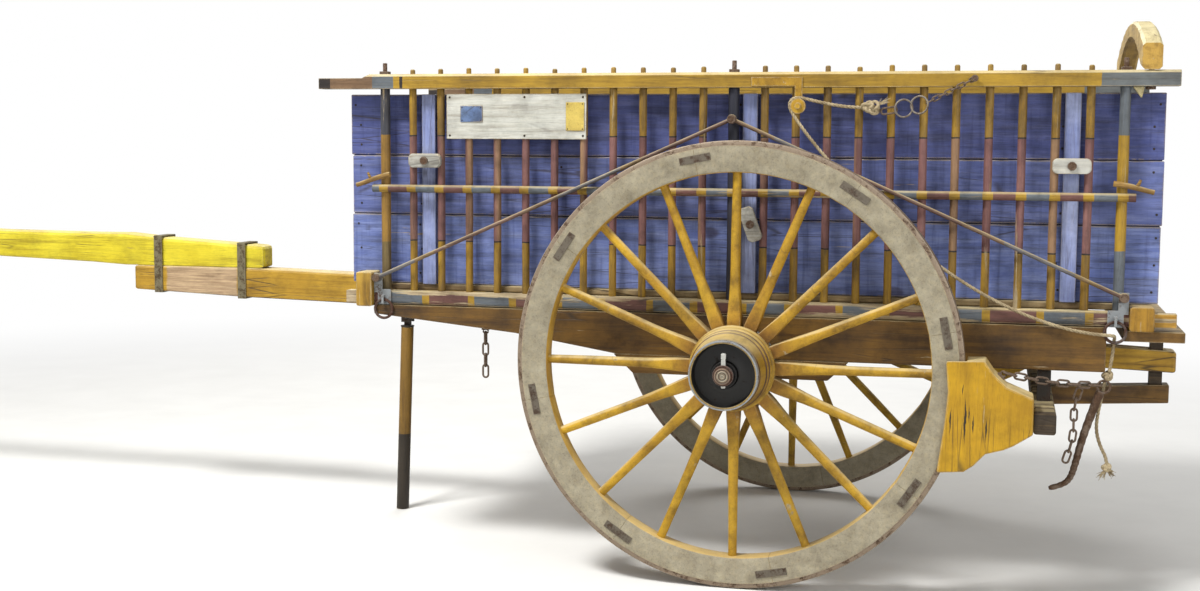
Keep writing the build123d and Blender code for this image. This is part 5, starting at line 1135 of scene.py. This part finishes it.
def make_planks():
    """Three wide planks on each side, with seams that hold a dark strip of painted shade, ragged ends and
    nail heads.
    """
    levels = [BOARD_LOW, *BOARD_JOINTS, BOARD_TOP]
    for side, suffix in SIDES:
        shape = Shape()
        low_y, high_y = sorted((side * BOARD_INNER, side * BOARD_OUTER))
        for low, high in zip(levels, levels[1:]):
            bottom = low + (BOARD_SEAM if low > BOARD_LOW else 0)
            top = high - (BOARD_SEAM if high < BOARD_TOP else 0)
            front = BOARD_FRONT - random.uniform(0, 9)
            rear = BOARD_REAR + random.uniform(0, 7)
            shape.box((rear, low_y, bottom), (front, high_y, top), 2.5)
            if high < BOARD_TOP:
                # Dark strip in the seam: painted shade in the gap between planks.
                seam = (BOARD_REAR + 8, low_y + 5, high - 3), (BOARD_FRONT - 10, high_y - 5, high + 3)
                shape.box(*seam, 0.5, 1)
        shape.build(f"planks_{suffix}", ["wall", "seam"], "bed", [f"side_boards_{suffix}"])
    shape = Shape()
    for side in (1, -1):
        nail = on_side(side, [(BOARD_OUTER + 0.1, 4.2), (BOARD_OUTER + 1.1, 3.8), (BOARD_OUTER + 1.7, 2.2)])
        for x in NAIL_ROWS:
            for low, high in zip(levels, levels[1:]):
                for z in (low + NAIL_EDGE, (low + high) / 2, high - NAIL_EDGE):
                    shape.lathe(nail, (x + random.uniform(-12, 12), z), 8)
    shape.build("plank_nails", ["dark_iron"], "bed", ())


def make_sign():
    """Blank painted board with two small blank plates and its nails."""
    shape = Shape()
    shape.box((SIGN_REAR, SIGN_Y, SIGN_LOW), (SIGN_FRONT, SIGN_Y + SIGN_THICKNESS, SIGN_TOP), 1.0)
    y = SIGN_Y + SIGN_THICKNESS + 0.2
    for rear, front, low, high, slot in SIGN_PLATES:
        shape.box((rear, y, low), (front, y + PLATE_THICKNESS, high), 0.8, slot)
        for x in (rear + 6, front - 6):
            for z in (low + 6, high - 6):
                shape.lathe([(y + lift, radius) for lift, radius in PLATE_NAIL], (x, z), 8, 3)
    for x in SIGN_NAIL_X:
        for z in (SIGN_LOW + 12, SIGN_TOP - 12):
            shape.lathe([(y + lift, radius) for lift, radius in SIGN_NAIL], (x, z), 10, 3)
    used = ["sign", "plate_blue", "plate_yellow", "dark_iron"]
    shape.build("sign_painted", used, "bed", ["sign_board"])


def bow(y, reach, low, high):
    """Height of a circular arc over y, low at its ends and high in the middle."""
    rise = high - low
    radius = (reach * reach + rise * rise) / (2 * rise)
    return high - radius + math.sqrt(radius * radius - y * y)


def make_arch():
    """Bowed timber with rounded edges over the rear ends of the rails."""
    outer = RAIL_Y + ARCH_THICKNESS / 2
    inner = RAIL_Y - ARCH_THICKNESS / 2
    foot = TOP_RAIL_TOP + 0.4
    half = ARCH_DEPTH / 2
    soft = ARCH_EDGE
    corners = [
        # place along the cart, 1 on top, inset
        (-half + soft, 0, 0), (-half, 0, soft), (-half, 1, soft), (-half + soft, 1, 0),
        (half - soft, 1, 0), (half, 1, soft), (half, 0, soft), (half - soft, 0, 0),
    ]
    rings = []
    for step in range(ARCH_STEPS + 1):
        share = 2 * step / ARCH_STEPS - 1
        high = Vector((0, outer * share, bow(outer * share, outer, foot + ARCH_END_HEIGHT, ARCH_TOP)))
        low = Vector((0, inner * share, bow(inner * share, inner, foot, ARCH_TOP - ARCH_THICKNESS)))
        if step in (0, ARCH_STEPS):
            low = Vector((0, outer * share, foot))
        hewn = 0.7 * math.sin(step * 1.9)
        up = (high - low).normalized()
        ring = []
        for x, on_top, inset in corners:
            base = high - up * inset if on_top else low + up * inset
            ring.append(at(ARCH_X + x + (hewn if x > 0 else -hewn * 0.5), base.y, base.z))
        rings.append(ring)
    shape = Shape()
    shape.strip(rings)
    shape.build("arch_bowed", ["arch"], "bed", ["rear_arch"], 34.0)


def make_sides():
    make_stakes()
    make_stays()
    make_planks()
    make_sign()
    make_arch()


# Branches, rings, chains and rope


BRANCHES = [
    # inner end x, z, outer end x, z
    (1293.0, MID_RAIL_Z + 51, 1423.0, MID_RAIL_Z + 13), (-1195.0, MID_RAIL_Z + 45, -1321.0, MID_RAIL_Z + 20),
]
BRANCH_Y = RAIL_Y + 27.6
BRANCH_RADIUS = 0.0098
BRANCH_TAPER = 0.0018
TWIG_PLACE = 0.55
TWIG = [
    # share of the branch further out, rise, radius in metres
    (0.0, 0, 0.0062), (0.07, 14, 0.0055), (0.11, 27, 0.0042),
]


def make_branches():
    """Forked branches behind the ends of the mid rail."""
    shape = Shape()
    for side in (1, -1):
        y = side * BRANCH_Y
        for x0, z0, x1, z1 in BRANCHES:
            shares = [step / 8 for step in range(9)]
            path = [at(x0 + (x1 - x0) * v, y, z0 + (z1 - z0) * v + 2 * math.sin(v * 5.0)) for v in shares]
            shape.tube(path, [BRANCH_RADIUS - BRANCH_TAPER * v for v in shares], 10)
            x, z = x0 + (x1 - x0) * TWIG_PLACE, z0 + (z1 - z0) * TWIG_PLACE
            twig = [at(x + (x1 - x0) * share, y, z + rise) for share, rise, _ in TWIG]
            shape.tube(twig, [radius for _, _, radius in TWIG], 8)
    shape.build("hook_pegs_round", ["branch"], "bed", ["hook_pegs"])


def make_rings():
    shape = Shape()
    for side in (1, -1):
        for x in SHOE_RING_XS:
            middle = (x, side * SHOE_RING_Y, SHOE_RING_Z)
            shape.torus(middle, (0, 1, 0), SHOE_RING_RADIUS, SHOE_RING_WIRE, 40, 12)
    shape.build("shoe_rings_round", ["ring"], "bed", ["shoe_rings"])


def link_path(start, end, upright, half_width=LINK_HALF_WIDTH):
    """Stadium-shaped path of a chain link, in metres."""
    along = end - start
    half = along.length / 2 + LINK_OVERLAP - half_width
    unit = along.normalized()
    flat = unit.cross(Vector((0, 1, 0))).normalized()
    side = flat if upright else unit.cross(flat)
    middle = (start + end) / 2
    path = []
    for way in (1, -1):
        for step in range(9):
            angle = math.pi * step / 8 - math.pi / 2
            out = unit * way * (half + half_width * math.cos(angle))
            path.append(at(*(middle + out + side * way * half_width * math.sin(angle))))
    return path


def chain(shape, points, upright, rings=(), half_width=LINK_HALF_WIDTH, wire=LINK_WIRE):
    """Links turned crosswise in turn; those numbered in rings are round."""
    for index, (start, end) in enumerate(zip(points, points[1:])):
        if index in rings:
            tilt = 1 if upright else -1
            radius = (end - start).length / 2 + LINK_OVERLAP
            shape.torus((start + end) / 2, (0.3 * tilt, 1, 0.12 * tilt), radius, ROUND_LINK_WIRE, 32, 10, 1)
        else:
            shape.tube(link_path(start, end, upright, half_width), wire, 8, loop=True)
        upright = not upright


def staple(shape, foot, out):
    """Link that joins a chain's first link to its foot."""
    shape.tube(link_path(foot + out * STAPLE, foot + out * FIRST_LINK, True), STAPLE_WIRE, 8, loop=True)


def make_chains():
    """Chains of the brake, of the rail, of the hook's loose end and under the side beam."""
    shape = Shape()
    foot = Vector(BLOCK_EYE)
    out = Vector(BLOCK_EYE_WAY).normalized()
    first = foot + out * FIRST_LINK
    x, z = turned(HOOK_EYE_REACH, 0.0, HOOK_EYE_TURN)
    eye = Vector((HOOK_X + x, HOOK_Y - 3.0, HOOK_Z + z))
    shares = [index / 9 for index in range(10)]
    chain(shape, [first.lerp(eye, v) - Vector((0, 0, BRAKE_CHAIN_SAG * v * (1 - v))) for v in shares], False)
    staple(shape, foot, out)
    wide = Vector((0, EYE_PLATE_HALF, 0))
    long = wide.cross(out)
    plate = []
    for lift in (0.3, 6.0):
        middle = foot + out * lift
        plate.append([at(*p) for p in (
            middle - wide - long, middle + wide - long, middle + wide + long, middle - wide + long,
        )])
    shape.strip(plate)

    top, end = Vector(RAIL_CHAIN_TOP), Vector(RAIL_CHAIN_END)
    chain(shape, [top.lerp(end, index / 8) for index in range(9)], True, (), *FINE_LINK)
    chain(shape, [Vector((x, end.y, z)) for x, z in RING_CHAIN], True, (0, 1))
    pin = top + (end - top).normalized() * 6
    shape.lathe(RAIL_PIN, (pin.x, pin.z), 16)

    x, y, z = SLACK_CHAIN_TOP
    slack = [(x + 5 * index + 6 * math.sin(index), y, z - SLACK_LINK * index) for index in range(8)]
    chain(shape, [Vector(place) for place in slack], True)

    foot = Vector((BEAM_CHAIN_X, RAIL_Y, BEAM_CHAIN_Z))
    out = Vector((0.1, 0, -1)).normalized()
    chain(shape, [foot + out * FIRST_LINK - Vector((0, 0, BEAM_LINK * index)) for index in range(5)], False)
    staple(shape, foot, out)
    half = EYE_PLATE_HALF
    low, high = BEAM_PLATE_Z
    shape.box((BEAM_CHAIN_X - half, RAIL_Y - half, low), (BEAM_CHAIN_X + half, RAIL_Y + half, high), 1.0)
    shape.build("chains_round", ["rust", "bright"], "bed", ["chains"])


def make_hook():
    """Tapering forged hook on its ring."""
    shape = Shape()
    path = smooth_path("hook_line", [at(x, HOOK_Y, z) for x, z in HOOK_LINE], 10)
    radii = []
    for index in range(len(path)):
        radii.append(HOOK_RADIUS - HOOK_TAPER * index / len(path) + 0.0007 * math.sin(index * 1.7))
    radii[-1] = 0.005
    shape.tube(path, radii, 12)
    shape.torus((HOOK_X, HOOK_Y, HOOK_Z), (0, 1, 0), HOOK_RING_RADIUS, HOOK_RING_WIRE, 36, 12)
    shape.build("brake_hook_round", ["rust"], "bed", ["brake_hook"])


def smooth_path(name, points, resolution):
    """Points along the NURBS spline whose control points are given."""
    curve = bpy.data.curves.new(name, "CURVE")
    curve.dimensions = "3D"
    spline = curve.splines.new("NURBS")
    spline.points.add(len(points) - 1)
    for place, point in zip(spline.points, points):
        place.co = (*point, 1.0)
    spline.order_u = 3
    spline.use_endpoint_u = True
    spline.resolution_u = resolution
    holder = bpy.data.objects.new(name, curve)
    mesh = bpy.data.meshes.new_from_object(holder)
    path = [v.co.copy() for v in mesh.vertices]
    bpy.data.objects.remove(holder)
    bpy.data.meshes.remove(mesh)
    bpy.data.curves.remove(curve)
    return path


def rope_piece(name, points, replaced):
    """Three twisted strands along the route."""
    path = smooth_path(f"{name}_line", [at(*p) for p in points], 40)
    shape = Shape()
    side = None
    frames = []
    covered = 0.0
    for index, point in enumerate(path):
        last = path[max(index - 1, 0)]
        side, other = across(path[min(index + 1, len(path) - 1)] - last, side)
        covered += (point - last).length
        frames.append((point, side, other, covered))
    for strand in range(3):
        line = []
        for point, first, second, distance in frames:
            angle = 2 * math.pi * (strand / 3 + distance / ROPE_LAY)
            line.append(point + (first * math.cos(angle) + second * math.sin(angle)) * STRAND_REACH)
        shape.tube(line, STRAND_RADIUS, 8)
    piece = shape.build(name, ["rope"], "bed", [replaced], 60.0)
    return piece, path, covered


def wound(shape, start, end, radius):
    """Close turns of rope round a core."""
    start = Vector(start)
    end = Vector(end)
    first, second = across(end - start, None)
    steps = TURN_STEPS * max(2, round((end - start).length / TURN_PITCH))
    path = []
    for step in range(steps + 1):
        angle = 2 * math.pi * step / TURN_STEPS
        middle = start.lerp(end, step / steps)
        path.append(at(*(middle + (first * math.cos(angle) + second * math.sin(angle)) * radius)))
    shape.tube(path, TURN_RADIUS, 8)
    shape.tube([at(*start), at(*end)], (radius + 1) / 1000, 10)


def tangle(shape, middle, size):
    """Pulled knot: a trefoil of rope drawn tight."""
    middle = Vector(middle)
    path = []
    for step in range(KNOT_STEPS):
        angle = 2 * math.pi * step / KNOT_STEPS
        reach = 0.62 + 0.38 * math.cos(3 * angle)
        path.append(at(
            middle.x + size * 1.15 * reach * math.cos(2 * angle),
            middle.y + size * 0.55 * math.sin(3 * angle),
            middle.z + size * reach * math.sin(2 * angle),
        ))
    shape.tube(path, KNOT_RADIUS, 9, loop=True)


def frayed(shape, start, direction, length, fibres):
    """Loose end of rope whose fibres open out."""
    start = Vector(start)
    for _ in range(fibres):
        spread = Vector(direction) + Vector([random.uniform(-0.45, 0.45) for _ in range(3)])
        reach = length * random.uniform(0.7, 1.0)
        bend = Vector([random.uniform(-0.1, 0.1) for _ in range(3)])
        middle = start + (spread + bend) * reach * 0.5
        shape.tube([at(*start), at(*middle), at(*(start + spread * reach))], [0.0016, 0.0012, 0.0006], 5)


KNOTS = {
    # turns round a core (ends, radius), pulled knots (middle, size) and loose ends (start, way,
    # length, fibres)
    "chain_knot": (
        [((-443, 613, 852), (-395, 613, 859), 7.0)],
        [((-424, 611, 859), 21.0), ((-409, 615, 862), 17.0)],
        [((-440, 613, 868), (-0.85, 0.0, 0.5), 34.0, 24)],
    ),
    "sleeper_knot": ([((-1199, 583, -17), (-1199, 583, -2), 8.5)], [((-1199, 585, -10), 13.0)], []),
    "tail_knot": (
        [((-1207, 575, -313), (-1205, 575, -326), 6.5)],
        [((-1207, 575, -316), 11.0)],
        [((-1205, 575, -324), (0.5, 0.0, -0.8), 34.0, 26), ((-1207, 575, -320), (-0.7, 0.0, -0.7), 30.0, 22)],
    ),
}


def make_knot(name):
    shape = Shape()
    turns, pulled, loose = KNOTS[name]
    for row in turns:
        wound(shape, *row)
    for row in pulled:
        tangle(shape, *row)
    for row in loose:
        frayed(shape, *row)
    return shape.build(name, ["rope"], "bed", ["rope_knots"], 60.0)


def make_rope():
    line, line_path, line_length = rope_piece("rope_line_strands", ROPE_LINE, "rope_line")
    tail, tail_path, tail_length = rope_piece("rope_tail_strands", ROPE_TAIL, "rope_tail")
    upper, middle, lower = [make_knot(name) for name in KNOTS]


# Pieces that keep their solid's shape


DRESSED = [
    # material, bevel in metres, nodes
    ("rail", 0.003, "top_rails"), ("mid", 0.0, "mid_rails"), ("sill", 0.003, "sills"),
    ("batten", 0.003, "battens"), ("rust", 0.0015, "toggle_bolts", "stay_bolts", "end_nuts"),
    ("grey_iron", 0.0015, "sill_shoes"), ("splice", 0.010, "pole_main"), ("yellow", 0.014, "pole_extension"),
    ("hoop", 0.002, "pole_bands"), ("beam", 0.004, "side_beams", "axle_blocks", "brake_arm"),
    ("axle", 0.0015, "axle"), ("front_end", 0.006, "crossbeam_front"), ("rear_end", 0.004, "crossbeam_rear"),
    ("beam", 0.003, "floor_joists", "rear_sleeper"), ("bare", 0.005, "floor_boards"),
    ("rust", 0.001, "arch_bolts"), ("cream", 0.003, "arch_teeth"), ("dark", 0.003, "tail_post", "brake_beam"),
    ("block", 0.006, "brake_block_left", "brake_block_right"), ("pulley", 0.001, "pulley"),
    ("dark_iron", 0.001, "brake_hangers", "prop_bracket", "prop_eye"), ("prop", 0.003, "prop_leg"),
]


def dress_nodes():
    for material, bevel, *nodes in DRESSED:
        for node in nodes:
            dress(node, material, bevel)
    dress("toggles", "white", 0.005, 3)


# Camera, floor and light

CAMERA_PLACE = (-846.3, 5940.5, 749.7)
CAMERA_RIGHT = (-0.96909, -0.24606, 0.00489)
CAMERA_UP = (0.02890, -0.09403, 0.99515)
CAMERA_BACK = (-0.24505, 0.96469, 0.09821)
CAMERA_LENS = 47.35
FLOOR_REACH = 40.0
FLOOR_Z = -0.002
FLOOR_FADE = (2.5, 7.5)
AMBIENT = 0.40
LAMPS = [
    # name, place and target in metres, size, power
    ("key", (1.6, 3.6, 6.8), (-1.2, 0.2, 0.8), 2.0, 640.0),
    ("fill", (-6.0, 5.0, 3.0), (-0.8, 0.0, 0.9), 4.0, 170.0),
    ("back", (0.5, -6.0, 5.0), (-0.8, 0.0, 0.8), 4.0, 200.0),
]


def make_camera():
    data = bpy.data.cameras.new("camera")
    data.lens = CAMERA_LENS
    data.sensor_width = 36.0
    data.clip_end = 100.0
    camera = placed("camera", data)
    rotation = Matrix((CAMERA_RIGHT, CAMERA_UP, CAMERA_BACK)).transposed()
    camera.matrix_world = Matrix.Translation(at(*CAMERA_PLACE)) @ rotation.to_4x4()
    bpy.context.scene.camera = camera


def make_floor():
    """Pale floor that keeps the shadow and turns white far from the cart."""
    mesh = bpy.data.meshes.new("floor")
    corners = [(x * FLOOR_REACH, y * FLOOR_REACH, FLOOR_Z) for x, y in ((-1, -1), (1, -1), (1, 1), (-1, 1))]
    mesh.from_pydata(corners, [], [(0, 1, 2, 3)])
    s = Shader("floor_pale", 0.0, 0.1)
    mesh.materials.append(s.finish(s.tones(s.noise(s.object, 3.0), (226, 225, 221), (232, 231, 227)), 0.9))
    far = s.steps(s.reach(s.axis("X"), s.axis("Y")), *FLOOR_FADE)
    seen = s.times(far, s.node("LightPath", {}, "Is Camera Ray"))
    light = s.node("Emission", {"Color": WHITE}, "Emission")
    join = s.node("MixShader", {"Fac": seen, 1: s.bsdf.outputs["BSDF"], 2: light}, "Shader")
    s.fill(s.tree.nodes["Material Output"], {"Surface": join})
    placed("floor", mesh)


def area_light(name, place, target, size, power):
    data = bpy.data.lights.new(name, "AREA")
    data.shape = "RECTANGLE"
    data.size = size
    data.size_y = size * 0.7
    data.energy = power
    lamp = placed(name, data)
    lamp.location = place
    lamp.rotation_euler = (Vector(target) - Vector(place)).to_track_quat("-Z", "Y").to_euler()


def make_light():
    """Three soft lamps in a world that is white to the eye and dimmer as light."""
    world = bpy.data.worlds.new("studio")
    world.use_nodes = True
    n = Nodes(world.node_tree)
    rays = [n.node("LightPath", {}, kind) for kind in ("Is Camera Ray", "Is Glossy Ray")]
    ambient = n.tree.nodes["Background"]
    n.fill(ambient, {"Strength": AMBIENT, "Color": WHITE})
    white = n.node("Background", {"Color": WHITE}, "Background")
    inputs = {"Fac": n.math("MAXIMUM", *rays), 1: ambient.outputs["Background"], 2: white}
    n.fill(n.tree.nodes["World Output"], {"Surface": n.node("MixShader", inputs, "Shader")})
    bpy.context.scene.world = world
    for lamp in LAMPS:
        area_light(*lamp)


make_camera()
make_rope()
make_wheels()
make_sides()
make_branches()
make_rings()
make_chains()
make_hook()
dress_nodes()
make_floor()
make_light()
bpy.context.scene.view_settings.view_transform = "Standard"
